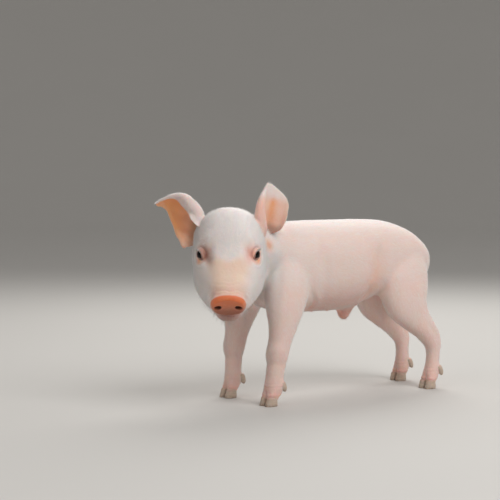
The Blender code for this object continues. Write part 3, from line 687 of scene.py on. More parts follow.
def lids(points):
    """Pulls the skin round each eye into lids that hug the eyeball, with folds above and below.

    Each point moves along the line from the eye's centre.  Near the eye its distance blends into
    the eyeball's radius and the lid's thickness; folds are bells of the distance from the opening.
    """
    for side in (1, -1):
        centre, look, ahead, over = eye_frame(side)
        away = points - centre
        x, y, z = away @ ahead, away @ over, away @ look
        far = np.hypot(x / 1.12, y)
        hug = ramp(0.0125, 0.0072, far) * (z > 0)
        reach = np.linalg.norm(away, axis=1)
        upper, lower = ramp(-0.001, 0.003, y), ramp(-0.002, -0.006, y)
        target = EYE_RADIUS + LID + 0.0006 * upper * bell(far - 0.006, 0.003)
        moved = np.where(hug > 0, reach + (target - reach) * hug * 0.92, reach)
        turn = np.arctan2(y, x)
        fold = 0.00050 * bell(far - 0.0080 - 0.0006 * np.sin(turn), 0.0006) * upper
        for place, waver, depth, width in LOWER_FOLDS:
            fold += depth * bell(far - place - waver * np.cos(2 * turn), width) * lower
        for place, height, width in LOWER_ROLLS:
            fold -= height * bell(far - place, width) * lower
        moved = moved - fold * (z > -0.004) * ramp(0.024, 0.018, far)
        points = np.where((reach > 0)[:, None], centre + away * (moved / reach)[:, None], points)
    return points


def face_relief(points):
    """How far the face's forms stand off the plain head, along its normals.

    A sum of bells: a trough between eye and bridge, the brow, the cheek, the hollow beside the
    bridge, and wrinkles over the snout that run across it and bend back at its sides.
    """
    a, l, u = of_head(points)
    near = abs(l)
    head = ramp(-0.060, -0.045, a) * ramp(-0.060, -0.050, u)
    trough = bell(np.hypot((a - 0.012) / 1.8, near - 0.0225), 0.0052) * ramp(-0.002, 0.008, u)
    relief = -np.where(l < 0, 0.0032, 0.0021) * trough
    relief += 0.0009 * bell(np.hypot(a + 0.006, near - 0.0235), 0.0075) * ramp(0.008, 0.02, u)
    relief += 0.0006 * bell(np.hypot(a - 0.012, near - 0.036), 0.010)
    relief -= 0.0012 * bell(np.hypot(a - 0.034, near - 0.021), 0.009) * ramp(-0.004, 0.004, u)
    top = ramp(0.0, 0.006, u) * ramp(0.019, 0.010, near)
    for place, depth in SNOUT_WRINKLES:
        bent = place - 0.25 * near + 0.0004 * np.sin(l * 500)
        relief -= depth * bell(a - bent, 0.0008) * top
        relief += 0.7 * depth * bell(a - bent - 0.0018, 0.0012) * top
    return relief * head


def mouth_level(a, l, steps):
    """The angle of each place round a point inside the muzzle, and the lips' height at it."""
    line = through(MOUTH_LINE, steps)
    turn = np.arctan2(abs(l), a - MOUTH_INSIDE)
    line_turn = np.arctan2(line[:, 1], line[:, 0] - MOUTH_INSIDE)
    order = np.argsort(line_turn)
    return turn, np.interp(turn, line_turn[order], line[order, 2])


def mouth_relief(points):
    """The closed mouth's groove with a soft lip on both sides, and the corner's fold."""
    a, l, u = of_head(points)
    turn, level = mouth_level(a, l, 8)
    away = u - level
    shown = ramp(math.radians(88), math.radians(72), turn) * (a > 0.0) * (a < MOUTH_END)
    relief = -0.0012 * bell(away, 0.00065) * shown
    relief += 0.0005 * bell(abs(away) - 0.0019, 0.0013) * shown
    corner = np.hypot(a - 0.0085, away)
    return relief - 0.0008 * bell(corner, 0.0016) * (abs(l) > 0.02)


def snout(points):
    """Shapes the snout's disc: a rolled rim, a shallow dish, a groove below, and two nostrils."""
    a, l, u = of_head(points)
    sag = ramp(0.040, 0.056, a) * (np.linalg.norm(points - BROW, axis=1) < 0.09)
    up = u + SNOUT_DROP
    front = ramp(0.0570, 0.0630, a) * (up > -0.0165)
    round_out = np.hypot(l / 0.0192, up / 0.0142)
    push = 0.0006 * bell(round_out - 0.86, 0.13) - 0.0005 * ramp(0.75, 0.2, round_out)
    push -= 0.0006 * bell(l, 0.0016) * ramp(-0.002, -0.010, up)
    for side in (1, -1):
        x, y = (l * side - NOSTRIL[0]), (u - NOSTRIL[1])
        y = y + 0.12 * x
        hole = np.hypot(x / NOSTRIL_SIZE[0], y / NOSTRIL_SIZE[1])
        push -= NOSTRIL_DEPTH * (1 - np.clip(hole, 0, 1) ** 3)
        push += 0.0004 * bell(hole - 1.30, 0.22)
    points = points + (push * front)[:, None] * FORWARD
    bead = 0.0005 * bell(a - 0.0618, 0.0018) * ramp(0.75, 0.9, round_out)
    points = points + sag[:, None] * (0.0008 * FORWARD - SNOUT_SAG * UP)
    return points + bead[:, None] * unit(np.outer(l, LEFT) + np.outer(up, UP) + 1e-9 * UP)


def trunk_relief(x, y, z):
    """The trunk's folds and forms as a sum of bells.

    These are the elbow's and flank's folds with a roll behind each, the flank's hollow and the
    small bulge in it, the thigh's front, the shoulder blade and the crease behind it, the haunch,
    the line of the spine, and a faint waviness.
    """
    side = abs(x)
    trunk = ramp(0.085, 0.105, z) * ramp(-0.165, -0.150, y)
    flanks = ramp(0.014, 0.026, side)
    outside = ramp(0.018, 0.030, side)
    elbow = y + 0.078 + 0.35 * (z - 0.115) + 0.0015 * np.sin(z * 260)
    relief = -0.0012 * bell(elbow, 0.0022) * bell(z - 0.112, 0.018) * trunk
    relief += 0.0009 * bell(elbow - 0.006, 0.0045) * bell(z - 0.112, 0.018) * trunk
    flank = y - 0.022 - 0.55 * (z - 0.120) + 0.0012 * np.sin(z * 300)
    relief -= 0.0012 * bell(flank, 0.0024) * bell(z - 0.121, 0.017) * flanks
    relief += 0.0009 * bell(flank - 0.006, 0.0045) * bell(z - 0.121, 0.019) * flanks
    hollow = bell(y - 0.009 - 0.12 * (z - 0.140), 0.010)
    hollow *= ramp(0.188, 0.160, z) * ramp(0.098, 0.112, z)
    relief -= 0.0045 * hollow * ramp(0.016, 0.030, side)
    relief += 0.0020 * bell(np.hypot(y - 0.005, (z - 0.132) / 1.4), 0.0050) * outside
    relief += 0.0014 * bell(y - 0.036, 0.014) * bell(z - 0.140, 0.026) * outside
    relief += 0.0010 * bell(np.hypot(y + 0.098, z - 0.172), 0.024) * ramp(0.02, 0.034, side)
    crease = bell(y + 0.070 + 0.1 * (z - 0.15), 0.007)
    relief -= 0.0015 * crease * bell(z - 0.150, 0.034) * trunk
    relief += 0.0010 * bell(np.hypot(y - 0.072, z - 0.165), 0.020) * ramp(0.015, 0.028, side)
    relief -= 0.0007 * bell(side, 0.0035) * ramp(0.190, 0.200, z) * bell(y - 0.010, 0.070)
    waves = (np.sin(y * 420 + 35 * z + 1.3 * np.sin(z * 130)) * np.sin(z * 95 + y * 40)
             + 0.7 * np.sin(y * 260 - z * 210))
    return relief + 0.00003 * waves * trunk


def leg_relief(x, y, z, pair, way, leg):
    """One leg's forms: hollow and point of the hock or knee, dewclaws' collars, toes' cleft."""
    rows = leg_rows(pair, way)
    rows[:, :3] -= SHIFT
    middle_x, middle_y = leg_at(z, rows, 0, 1)
    near = ramp(0.026, 0.020, np.hypot(x - middle_x, y - middle_y))
    behind = y - middle_y
    if pair == "hind":
        hollow = bell(z - 0.070, 0.012) * bell(behind - 0.004, 0.006)
        relief = -0.0013 * hollow * near * ramp(0.003, 0.008, abs(x - middle_x))
        relief += 0.0008 * bell(z - 0.052, 0.007) * ramp(0.0, 0.01, behind) * near
    else:
        relief = 0.0007 * bell(z - 0.060, 0.008) * ramp(0.0, -0.01, behind) * near
        relief -= 0.0006 * bell(z - 0.047, 0.004) * near
    for place in ("outer", "inner"):
        root = middle_of(f"{leg}_dewclaw_{place}") - SHIFT + np.array((0, -0.0015, 0.0030))
        away = np.column_stack([x, y, z]) - root
        relief += 0.0013 * bell(np.linalg.norm(away, axis=1), 0.0046)
    for level in (0.0215, 0.0255):
        relief -= 0.0004 * bell(z - level - 0.05 * behind, 0.0007) * near
    relief += 0.0007 * bell(z - 0.0125, 0.0016) * near
    return relief - 0.0010 * bell(x - rows[-1, 0], 0.0012) * bell(z - 0.014, 0.009) * near


def body_relief(points, normal):
    """The relief of trunk, legs and neck, and the teats as bells on skin that faces down."""
    x, y, z = (points - SHIFT).T
    relief = trunk_relief(x, y, z)
    for place_x, place_y in TEAT_PLACES:
        near = np.hypot(abs(x) - place_x, y - place_y)
        relief += (0.0016 * bell(near, 0.0015) + 0.0004 * bell(near, 0.004)) * (normal[:, 2] < -0.5)
    for leg in LEGS:
        relief += leg_relief(x, y, z, *leg)
    return relief + neck_folds(points)


def neck_folds(points):
    """Soft creases across the throat and behind the jaw, where the turned neck bunches."""
    a, l, u = of_head(points)
    relief = 0 * a
    shown = ramp(-0.002, -0.014, u) * ramp(-0.075, -0.060, u)
    shown *= ramp(0.010, 0.022, l) * ramp(0.052, 0.040, l)
    for place, depth in NECK_CREASES:
        line = a - place - 0.25 * (u + 0.03) + 0.002 * np.sin(u * 120)
        relief -= depth * bell(line, 0.0017) * shown
        relief += 0.8 * depth * bell(line - 0.0050, 0.0032) * shown
    return relief


def fine_zone(points, level):
    """Which points lie where the skin needs smaller faces.

    The first level takes in eyes and nostrils with a margin, muzzle, teats and feet; the second
    only eyes, nostrils and lips.
    """
    a, l, u = of_head(points)
    margin = 0.0 if level == 2 else 0.006
    zone = np.zeros(len(points), bool)
    for side in (1, -1):
        zone |= np.linalg.norm(points - eye_frame(side)[0], axis=1) < 0.0155 + margin
        hole = in_head(SNOUT_SECTIONS[-1][0], NOSTRIL[0] * side, NOSTRIL[1])
        zone |= np.linalg.norm(points - hole, axis=1) < 0.0085 + margin
    if level == 1:
        zone |= (a > 0.0) & (u > -0.055) & (abs(l) < 0.05)
        x, y, z = (points - SHIFT).T
        for place_x, place_y in TEAT_PLACES:
            zone |= (np.hypot(abs(x) - place_x, y - place_y) < 0.004) & (z < 0.115) & (z > 0.09)
        zone |= z < 0.027
    else:
        gap = abs(u - mouth_level(a, l, 3)[1])
        zone |= (gap < 0.0028) & (a > 0.004) & (a < MOUTH_END) & (abs(l) < 0.045)
    return zone


def refine(thing, level):
    """Halves the edges that lie inside the fine zone, then softens the new points."""
    mesh = thing.data
    zone = fine_zone(places(mesh), level)
    edges = edges_of(mesh)
    work = bmesh.new()
    work.from_mesh(mesh)
    work.edges.ensure_lookup_table()
    chosen = np.flatnonzero(zone[edges].all(1))
    bmesh.ops.subdivide_edges(work, edges=[work.edges[i] for i in chosen.tolist()], cuts=1,
                              use_grid_fill=True)
    work.to_mesh(mesh)
    work.free()
    points = places(mesh)
    weight = spread(fine_zone(points, level).astype(float), edges_of(mesh), len(points), 2)
    place(mesh, relaxed(points, edges_of(mesh), 0.5 * weight, 4))


def eye_cutter(side):
    """A prism with the outline of the opening between the lids."""
    centre, look, ahead, over = eye_frame(side)
    ring = through(EYE_OUTLINE, 7)[:-1] * EYE_OPENING
    flat = centre + ring[:, :1] * ahead + ring[:, 1:] * over
    rings = flat[None] + np.array((0.0015, 0.0300))[:, None, None] * look
    return sleeve_object("opening", *sleeve(rings))


def combine(thing, other, how):
    """Joins another closed object to a thing, or cuts it out, and removes the other."""
    boolean = thing.modifiers.new("combine", "BOOLEAN")
    boolean.operation = how
    boolean.solver = "EXACT"
    boolean.object = other
    settled(thing)
    drop(other)


def make_flesh():
    """The body's parts as one closed mesh by a voxel remesh, smoothed, but crisp at disc and feet."""
    parts = [trunk_part(), neck_part(), *head_parts(), sheath_part()]
    for pair, side, _ in LEGS:
        parts += leg_parts(pair, side)
    flesh = new_object("skin", *gathered(parts))
    remesh = flesh.modifiers.new("join", "REMESH")
    remesh.mode = "VOXEL"
    remesh.voxel_size = VOXEL
    mesh = settled(flesh).data
    points = places(mesh)
    a, _, u = of_head(points)
    crisp = 0.35 * ramp(0.052, 0.056, a) * ramp(-0.018, -0.012, u)
    crisp += 0.3 * ramp(0.02, 0.014, points[:, 2])
    place(mesh, relaxed(points, edges_of(mesh), 0.5 - crisp, 13))
    for level in (1, 2):
        refine(flesh, level)
    return flesh


def sculpt(mesh, depth):
    """Draws the skin in by the coat's depth, less on the face, then adds relief, lids and snout."""
    points = places(mesh)
    a, _, u = of_head(points)
    face = ramp(-0.02, 0.02, a) * ramp(-0.06, -0.05, u)
    inset = depth * (1 - 0.55 * face) * (1 - ramp(0.050, 0.058, a))
    place(mesh, points - inset[:, None] * normals(mesh))
    points, normal = places(mesh), normals(mesh)
    relief = face_relief(points) + mouth_relief(points) + body_relief(points, normal)
    place(mesh, snout(lids(points + relief[:, None] * normal)))


def make_skin(depth):
    """The whole skin: sculpted flesh with ears and tail joined on and the eyes' openings cut.

    The joined faces keep the marks EAR_SKIN, TAIL_SKIN and EAR_INSIDE as their material index.
    """
    skin = make_flesh()
    sculpt(skin.data, depth)
    marks = [bpy.data.materials.new(f"mark_{number}") for number in range(4)]
    for mark in marks:
        skin.data.materials.append(mark)
    for index, part in ((EAR_SKIN, ear_part("ear_left")), (EAR_SKIN, ear_part("ear_right")),
                        (TAIL_SKIN, tail_part())):
        other = sleeve_object("part", *part)
        for mark in marks:
            other.data.materials.append(mark)
        owner = np.full(len(other.data.polygons), index, np.int32)
        if index == EAR_SKIN:
            column = np.arange(len(part[1])) % EAR_SIDES
            owner[:len(part[1])] = np.where(column < EAR_SIDES // 2, EAR_INSIDE, EAR_SKIN)
        other.data.polygons.foreach_set("material_index", owner)
        combine(skin, other, "UNION")
    for side in (1, -1):
        combine(skin, eye_cutter(side), "DIFFERENCE")
    return skin


def triangles_of(mesh):
    """A mesh's triangles, and the material index of each."""
    mesh.calc_loop_triangles()
    corners = read(mesh.loop_triangles, "vertices", 3, np.int32)
    owner = read(mesh.loop_triangles, "polygon_index", 1, np.int32)
    return corners, read(mesh.polygons, "material_index", 1, np.int32)[owner]


# ---- markings, kept on the points
def leg_share(points):
    """How much of each point belongs to a leg, and to which one of the four."""
    best, which = np.zeros(len(points)), np.zeros(len(points), int)
    for number, (pair, side, _) in enumerate(LEGS):
        x, y, wide, deep = leg_at(points[:, 2], leg_rows(pair, side), 0, 1, 3, 4)
        far = np.hypot((points[:, 0] - x) / wide, (points[:, 1] - y) / deep)
        share = ramp(1.9, 1.3, far) * ramp(0.150, 0.115, points[:, 2])
        which = np.where(share > best, number, which)
        best = np.maximum(best, share)
    return best, which


def head_share(points):
    """How much of each point belongs to the head."""
    a, l, u = of_head(points)
    return ramp(-0.062, -0.040, a) * ramp(-0.066, -0.052, u) * ramp(0.062, 0.050, abs(l))


def ear_places(points):
    """Share along its ear, and place across it, of each point, as of the ear on its side."""
    share, aside = np.zeros(len(points)), np.zeros(len(points))
    left = (points - BROW) @ LEFT > 0
    for name in EARS:
        base, axis, across, _, length = ear_frame(name)
        here = left == (EARS[name][0] > 0)
        share = np.where(here, (points - base) @ axis / length, share)
        aside = np.where(here, (points - base) @ across, aside)
    return share, aside, left


def markings(points, normal, ear, inside):
    """The skin's tints and its bareness, each from 0 to 1 at every point.

    rose is the pink of thin skin, and partly painted shade low on the trunk and in the hollow before
    the thigh; amber the orange red of the snout's disc and the ears' insides, fuller on the disc's top
    as painted light and, with the dark mark, painted shade in the right eye's trough; the dark mark is
    painted shade in hollows, creases, nostrils, the mouth's line, the disc's lower half, under the
    chin and at the ears' bases, and round the lids partly their own dark rims; honey is partly painted
    shade along the left ear's fold; bare the places without hair, and fine those with the shortest.
    """
    a, l, u = of_head(points)
    u = u + SNOUT_SAG * ramp(0.040, 0.056, a)
    near = abs(l)
    x, y, z = (points - SHIFT).T
    head = head_share(points)
    leg, _ = leg_share(points)
    disc = ramp(0.0600, 0.0630, a + 0.0025 * ramp(0.004, -0.008, u)) * ramp(-0.022, -0.018, u)
    # pinker low on the trunk: partly the belly's thinner pink skin, partly painted shade of the
    # underside
    rose = 0.62 * ramp(0.145, 0.100, z) * (1 - leg) + 0.16 * leg * ramp(0.10, 0.05, z)
    rose += 0.35 * bell(y - 0.075, 0.05) * ramp(0.028, 0.010, abs(x)) * ramp(0.15, 0.12, z)
    rose += 0.15 * ramp(0.035, 0.020, z)
    outside = ramp(0.018, 0.030, abs(x))
    # the hollow before the thigh: pinker skin, partly painted shade of the hollow
    flank = bell(y - 0.006, 0.010) * ramp(0.185, 0.140, z) * ramp(0.085, 0.105, z) * outside
    bulge = bell(np.hypot(y - 0.006, z - 0.132), 0.0075) * outside
    rose += 0.38 * flank + 0.10 * bulge
    rose += 0.70 * ramp(0.102, 0.094, z) * bell(np.hypot(x, y + 0.008), 0.016) * (1 - leg)
    # the disc's orange is fuller towards its top: painted light where the top faces the light
    amber = disc * (0.80 + 0.20 * ramp(-0.004, 0.008, u))
    share, aside, left = ear_places(points)
    # on the left ear, a band of stronger orange along the fold beside the rolled rim: painted shade of
    # the fold
    deep = np.where(left, 0.14 + 0.62 * bell(aside - 0.0095, 0.0042) * ramp(0.80, 0.62, share)
                    * ramp(-0.15, 0.50, share),
                    0.66 + 0.34 * ramp(0.10, 0.45, share))
    deep *= np.where(left, ramp(0.86, 0.62, share), 1.0)
    honey = deep * inside * (1 - 0.30 * (1 - left) * bell(aside - 0.024, 0.009))
    veins = bell(np.sin((aside + 0.051 * share) * math.pi / 0.0085), 0.40)
    spread_ear = 0.34 * ramp(-0.006, -0.020, aside) + 0.17 * veins
    spread_ear += 0.45 * ramp(0.034, 0.042, aside)
    # orange painted along the left ear's fold: painted shade
    left_fold_shade = 0.36 * bell(aside - 0.0090, 0.0018) * bell(share - 0.60, 0.16)
    amber = np.maximum(amber, inside * np.where(left, left_fold_shade, spread_ear))
    bridge = ramp(0.010, 0.021, a - 0.006 * bell(near, 0.010)) * (1 - disc)
    beige = bridge * ramp(-0.008, 0.008, u) * ramp(0.031, 0.011, near)
    rose += 0.35 * ramp(0.046, 0.056, a) * (1 - disc) * head
    strip = left * ear * (1 - inside) * ramp(0.0, 0.4, normal @ FACING) * ramp(0.92, 0.50, share)
    rose += 0.22 * ear * (1 - inside) + 0.50 * strip + 0.30 * inside * left * ramp(0.55, 0.25, share)
    honey = np.maximum(honey, 0.16 * strip)
    beige = np.maximum(beige, 0.35 * inside * left)
    # painted shade over the disc's lower half
    painted_shade = 0.62 * disc * ramp(0.007, -0.011, u)
    # painted shade under the disc, over the chin
    painted_shade = np.maximum(painted_shade, 0.45 * ramp(-0.015, -0.024, u) * ramp(0.044, 0.054, a) * head)
    # painted shade inside the ears near their bases
    painted_shade = np.maximum(painted_shade, 0.45 * inside * ramp(0.20, 0.02, share))
    lobe = bell(np.hypot(a + 0.0270, l - 0.0440), 0.0062) * bell(u + 0.003, 0.0115)
    amber = np.maximum(amber, 0.35 * lobe)
    honey = np.maximum(honey, 0.75 * lobe)
    painted_shade = np.maximum(painted_shade, 0.22 * lobe)
    honey = np.maximum.reduce([honey, 0.16 * flank, 0.18 * bulge])
    thin, lid, round_eye = np.maximum.reduce([lobe, 0.35 * flank, 0.70 * strip]), 0 * a, 0 * a
    for side in (1, -1):
        centre, look, ahead, over = eye_frame(side)
        away = points - centre
        far = np.hypot(away @ ahead / 1.12, away @ over)
        front = (away @ look) > 0
        rose += 0.40 * ramp(0.0115, 0.0070, far) * front
        above = head * ramp(0.002, 0.010, u)
        temple = bell(np.hypot(a - 0.006, l * side - 0.0222), 0.0056) * above
        trough = bell(np.hypot((a - 0.009) / 2.6, l * side - 0.0232 + 0.35 * (a - 0.010)), 0.0044)
        trough = trough * above
        rose += (0.30 if side < 0 else 0.65) * temple + 0.30 * trough
        # brown and dark painted in the trough beside the right eye only: painted shade on the side
        # away from the light
        amber = np.maximum(amber, (0.38 if side < 0 else 0.0) * trough)
        painted_shade = np.maximum(painted_shade, (0.72 if side < 0 else 0.02) * trough)
        upper, lower = ramp(0.0, 0.003, away @ over), ramp(0.0, -0.004, away @ over)
        # dark lines painted along the lid's fold and the folds under the eye: painted shade in the
        # creases
        painted_shade = np.maximum(painted_shade, 0.28 * bell(far - 0.0080, 0.0008) * upper * front)
        painted_shade = np.maximum(painted_shade, 0.30 * bell(far - 0.0106, 0.0008) * lower * front)
        painted_shade = np.maximum(painted_shade, 0.26 * bell(far - 0.0137, 0.0009) * lower * front)
        pouch = bell(np.linalg.norm([a - 0.0072, l * side - 0.0328, u - 0.0078], axis=0), 0.0038)
        thin = np.maximum.reduce([thin, 1.1 * temple, 1.15 * trough ** 0.5, pouch]).clip(0, 1)
        lid = np.maximum(lid, ramp(0.0120, 0.0082, far) * front)
        # a dark ring painted just round the opening: partly the lids' own dark rims, partly painted
        # shade
        rim = np.hypot((away @ ahead - 0.0010) / 0.0056, (away @ over - 0.0005) / 0.0036)
        painted_shade = np.maximum(painted_shade, ramp(1.34, 1.06, rim) * front * 0.72)
        open_skin = np.hypot((away @ ahead - 0.0035) / 1.3, away @ over)
        round_eye = np.maximum(round_eye, ramp(0.0092, 0.0064, open_skin) * front)
        honey = np.maximum(honey, 0.65 * pouch * head)
        # painted shade inside the nostrils
        hole = np.hypot((l * side - NOSTRIL[0]) / NOSTRIL_SIZE[0],
                        (u - NOSTRIL[1]) / NOSTRIL_SIZE[1])
        painted_shade = np.maximum(painted_shade, ramp(1.18, 0.85, hole) * (a > 0.050))
    turn, level = mouth_level(a, l, 8)
    gap = u - level
    lips = bell(gap, 0.0007) * (turn < math.radians(88)) * (a > 0.004) * (a < MOUTH_END)
    # painted shade along the mouth's line
    painted_shade = np.maximum(painted_shade, 0.9 * lips * (near < 0.045))
    rose += 0.4 * bell(gap, 0.0030) * head * (a > 0.01)
    cleft = bell(points[:, 2] - 0.012, 0.004) * ramp(0.03, 0.02, z)
    rose += 0.3 * cleft
    bare_ear = np.where(left, 0.62 * ramp(0.80, 0.55, share), 0.90) * inside
    bare = np.maximum.reduce([
        disc, round_eye, bare_ear, ramp(0.016, 0.011, points[:, 2]), painted_shade, 0.60 * beige,
        0.85 * thin, 0.45 * ramp(0.040, 0.052, a) * head,
    ])
    pale = head * ramp(-0.048, -0.028, a) + 0.45 * ramp(0.185, 0.205, z) + 0.15 * ear * (1 - inside)
    shoulder = bell(np.hypot(y + 0.100, z - 0.150), 0.040) * ramp(0.020, 0.032, abs(x))
    pale += 0.35 * shoulder * (1 - leg)
    pale *= (1 - 0.85 * beige) * (1 - inside) * (1 - lid)
    pale += 0.95 * ear * left * ramp(0.60, 0.82, share)
    pale *= ramp(0.062, 0.048, a) * (1 - 0.75 * leg) * (1 - 0.8 * thin)
    fine = head * ramp(0.002, 0.035, a) + leg * ramp(0.07, 0.03, z) + ear
    found = {"rose": rose, "amber": amber, "painted_shade": painted_shade, "beige": beige, "honey": honey,
             "pale": pale, "bare": bare, "fine": fine}
    return {name: np.clip(values, 0, 1) for name, values in found.items()}


# the list includes the painted shade mark, kept with the tints
MARKS = ("rose", "amber", "painted_shade", "beige", "honey", "pale")  # tints that skin and hairs keep


def keep_marks(mesh, marks):
    """Writes the tints onto a mesh's points."""
    for name in MARKS:
        keep_value(mesh, name, marks[name])


def lid_rims(points):
    """Which points lie on the cut rims of the lids, just off the eyeballs."""
    rim = np.zeros(len(points), bool)
    for side in (1, -1):
        centre, look, ahead, over = eye_frame(side)
        away = points - centre
        reach = np.linalg.norm(away, axis=1)
        flat = np.hypot((away @ ahead) / EYE_OPENING[0], (away @ over) / EYE_OPENING[1])
        rim |= (reach > EYE_RADIUS - 0.0002) & (reach < 0.011) & (away @ look > 0) & (flat < 1.75)
    return rim


def finish_skin(thing):
    """Softens the seams where ears and tail join, marks the skin, and sets apart the ears' faces."""
    mesh = thing.data
    points = places(mesh)
    corners, index = triangles_of(mesh)
    count = len(points)
    open_side = np.zeros(count)
    open_side[corners[index == EAR_INSIDE].ravel()] = 1
    index = np.where(index == EAR_INSIDE, EAR_SKIN, index)
    low, high = np.full(count, EAR_INSIDE), np.zeros(count, int)
    for k in range(3):
        np.minimum.at(low, corners[:, k], index)
        np.maximum.at(high, corners[:, k], index)
    edges = edges_of(mesh)
    seam = np.clip(3 * spread((low != high).astype(float), edges, count, 6), 0, 1)
    points = relaxed(points, edges, 0.5 * seam, 14)
    points = relaxed(points, edges, 0.25 * lid_rims(points), 3)
    place(mesh, points)
    normal = normals(mesh)
    ear = np.clip(spread((high == EAR_SKIN).astype(float), edges, count, 3) * 1.2, 0, 1)
    inside = np.clip(spread(open_side, edges, count, 1) * ear, 0, 1)
    marks = markings(points, normal, ear, inside)
    keep_marks(mesh, marks)
    for name, values in (("bare", marks["bare"]), ("fine", marks["fine"]), ("ear", ear)):
        keep_value(mesh, name, values)
    on_ear = np.isin(read(mesh.polygons, "material_index", 1, np.int32), (EAR_SKIN, EAR_INSIDE))
    mesh.polygons.foreach_set("material_index", on_ear.astype(np.int32))
    mesh.shade_smooth()
    return thing


# ---- the coat
COAT_REGIONS = (
    "head_left", "head_right", "ears", "neck", "trunk_left", "trunk_right", "forelegs", "hindlegs",
)


def lie_of(points, normal, region_ear):
    """Which way the hair lies: off the snout and over the crown, back on the trunk, down the legs.

    The ways of trunk, legs and head are mixed by the share that each has of a point; on an ear
    the hair fans out from its axis.  The sum is laid flat on the skin.
    """
    z = points[:, 2] - SHIFT[2]
    _, l, u = of_head(points)
    head = head_share(points)
    leg, _ = leg_share(points)
    back = np.zeros_like(points)
    back[:, 1] = 1
    back[:, 2] = -0.15 - 0.45 * ramp(0.20, 0.14, z)
    down = np.zeros_like(points)
    down[:, 1] = 0.25
    down[:, 2] = -1
    swept = -FORWARD[None] + 0.35 * np.sign(l)[:, None] * ramp(0, 0.03, abs(l))[:, None] * LEFT
    swept = swept - 0.55 * ramp(0.0, -0.03, u)[:, None] * UP
    lie = back * (1 - leg)[:, None] + down * leg[:, None]
    lie = lie * (1 - head)[:, None] + swept * head[:, None]
    for name in EARS:
        base, axis, across, _, _ = ear_frame(name)
        here = region_ear * ((points - BROW) @ LEFT * EARS[name][0] > 0)
        aside = (points - base) @ across
        fan = axis + np.outer(np.clip(aside / 0.02, -1, 1), across) * 0.45
        lie = np.where((here > 0.5)[:, None], fan, lie)
    lie = lie - normal * np.einsum("ij,ij->i", lie, normal)[:, None]
    return unit(lie + 1e-9)


def unwrapped(points, normal, region):
    """Flat places, from 0 to 1, of points on the skin: each region is unrolled round its own axis.

    Across a leg or the trunk the place is the angle round the middle as a share of a turn; along
    it, it is the height or length as a share of the region's.  The head is cut in halves, and an
    ear is laid out flat with its two faces side by side.
    """
    a, l, u = of_head(points)
    x, y, z = (points - SHIFT).T
    if region.startswith("head"):
        return np.column_stack([(a + 0.075) / 0.150, 0.5 + np.arctan2(abs(l), u + 0.008) / 7])
    if region == "ears":
        flat = np.zeros((len(points), 2))
        for name, shift in (("ear_left", 0.0), ("ear_right", 0.5)):
            base, axis, across, opening, length = ear_frame(name)
            away = points - base
            here = away @ LEFT * EARS[name][0] > -0.012
            front = (normal @ opening > 0) * 0.5
            found = np.column_stack([shift + 0.25 * (away @ axis / length + 0.3),
                                     front + 0.25 + away @ across / 0.10 * 0.4])
            flat = np.where(here[:, None], found, flat)
        return flat
    if region in ("forelegs", "hindlegs"):
        _, which = leg_share(points)
        middle = np.zeros((len(points), 2))
        for number, (pair, side, _) in enumerate(LEGS):
            line = np.column_stack(leg_at(points[:, 2], leg_rows(pair, side), 0, 1))
            middle = np.where((which == number)[:, None], line, middle)
        turn = np.arctan2(points[:, 0] - middle[:, 0], points[:, 1] - middle[:, 1]) / (2 * math.pi)
        return np.column_stack([(which % 2) * 0.5 + 0.25 + 0.46 * turn, z / 0.16])
    turn = np.arctan2(x, z - 0.153) / (2 * math.pi)
    return np.column_stack([0.5 + 0.96 * turn, (y + 0.16) / 0.30])


HAIR_ROUND = 0.18  # how far a hair's own roundness shows
HAIR_POINTS = 7  # three at the root, three at the waist, the tip
HAIR_FACES = np.array((
    (0, 2, 1), (0, 1, 4), (0, 4, 3), (1, 2, 5), (1, 5, 4), (2, 0, 3), (2, 3, 5),
    (3, 4, 6), (4, 5, 6), (5, 3, 6),
))
#   flat places of a hair's points round its root's, as shares of the patch's half width
HAIR_PATCH = np.array(((-1, -1), (1, -1), (0, -0.6), (-1, 0.2), (1, 0.2), (0, 0.4), (0, 1)))
PATCH_HALF = 0.0015  # half width of a hair's patch on the coat's flat sheet, which is 1 wide


def spikes(roots, normal, lie, length, width, lift, patch):
    """Closed three-sided hairs: root, waist and tip along a line that bends down onto the skin.

    At share s of its length L a hair is at root + s L lie + lift L (s - 0.55 s s) normal.  Round it
    lie three corners at the root, three at the waist, and one at the tip.  Returns the points,
    triangles, flat places and shading directions; these are the skin's own direction bent a
    little by the hair's roundness.
    """
    count = len(roots)
    aside = np.cross(normal, lie)
    turn = np.array((math.pi / 2, math.pi * 7 / 6, math.pi * 11 / 6))
    rings = []
    for share, thick in ((0.0, 1.0), (0.5, 0.78)):
        rise = lift * (share - 0.55 * share**2) - 0.03 * (share == 0)
        middle = roots + (share * length)[:, None] * lie + (rise * length)[:, None] * normal
        around = (np.cos(turn)[None, :, None] * aside[:, None] + np.sin(turn)[None, :, None]
                  * normal[:, None])
        rings.append(middle[:, None] + around * (width * thick / 2)[:, None, None])
    tip = roots + length[:, None] * lie + (lift * 0.45 * length)[:, None] * normal
    points = np.concatenate([*rings, tip[:, None]], axis=1)
    faces = (np.arange(count)[:, None, None] * HAIR_POINTS + HAIR_FACES[None]).reshape(-1, 3)
    flat = patch[:, None] + (HAIR_PATCH * PATCH_HALF)[None]
    waist = (roots + (0.5 * length)[:, None] * lie)[:, None]
    along = np.einsum("ijk,ik->ij", points - roots[:, None], lie)[..., None] * lie[:, None]
    shading = unit(normal[:, None] + HAIR_ROUND * unit(points - waist - along))
    return points.reshape(-1, 3), faces, flat.reshape(-1, 2), shading.reshape(-1, 3)


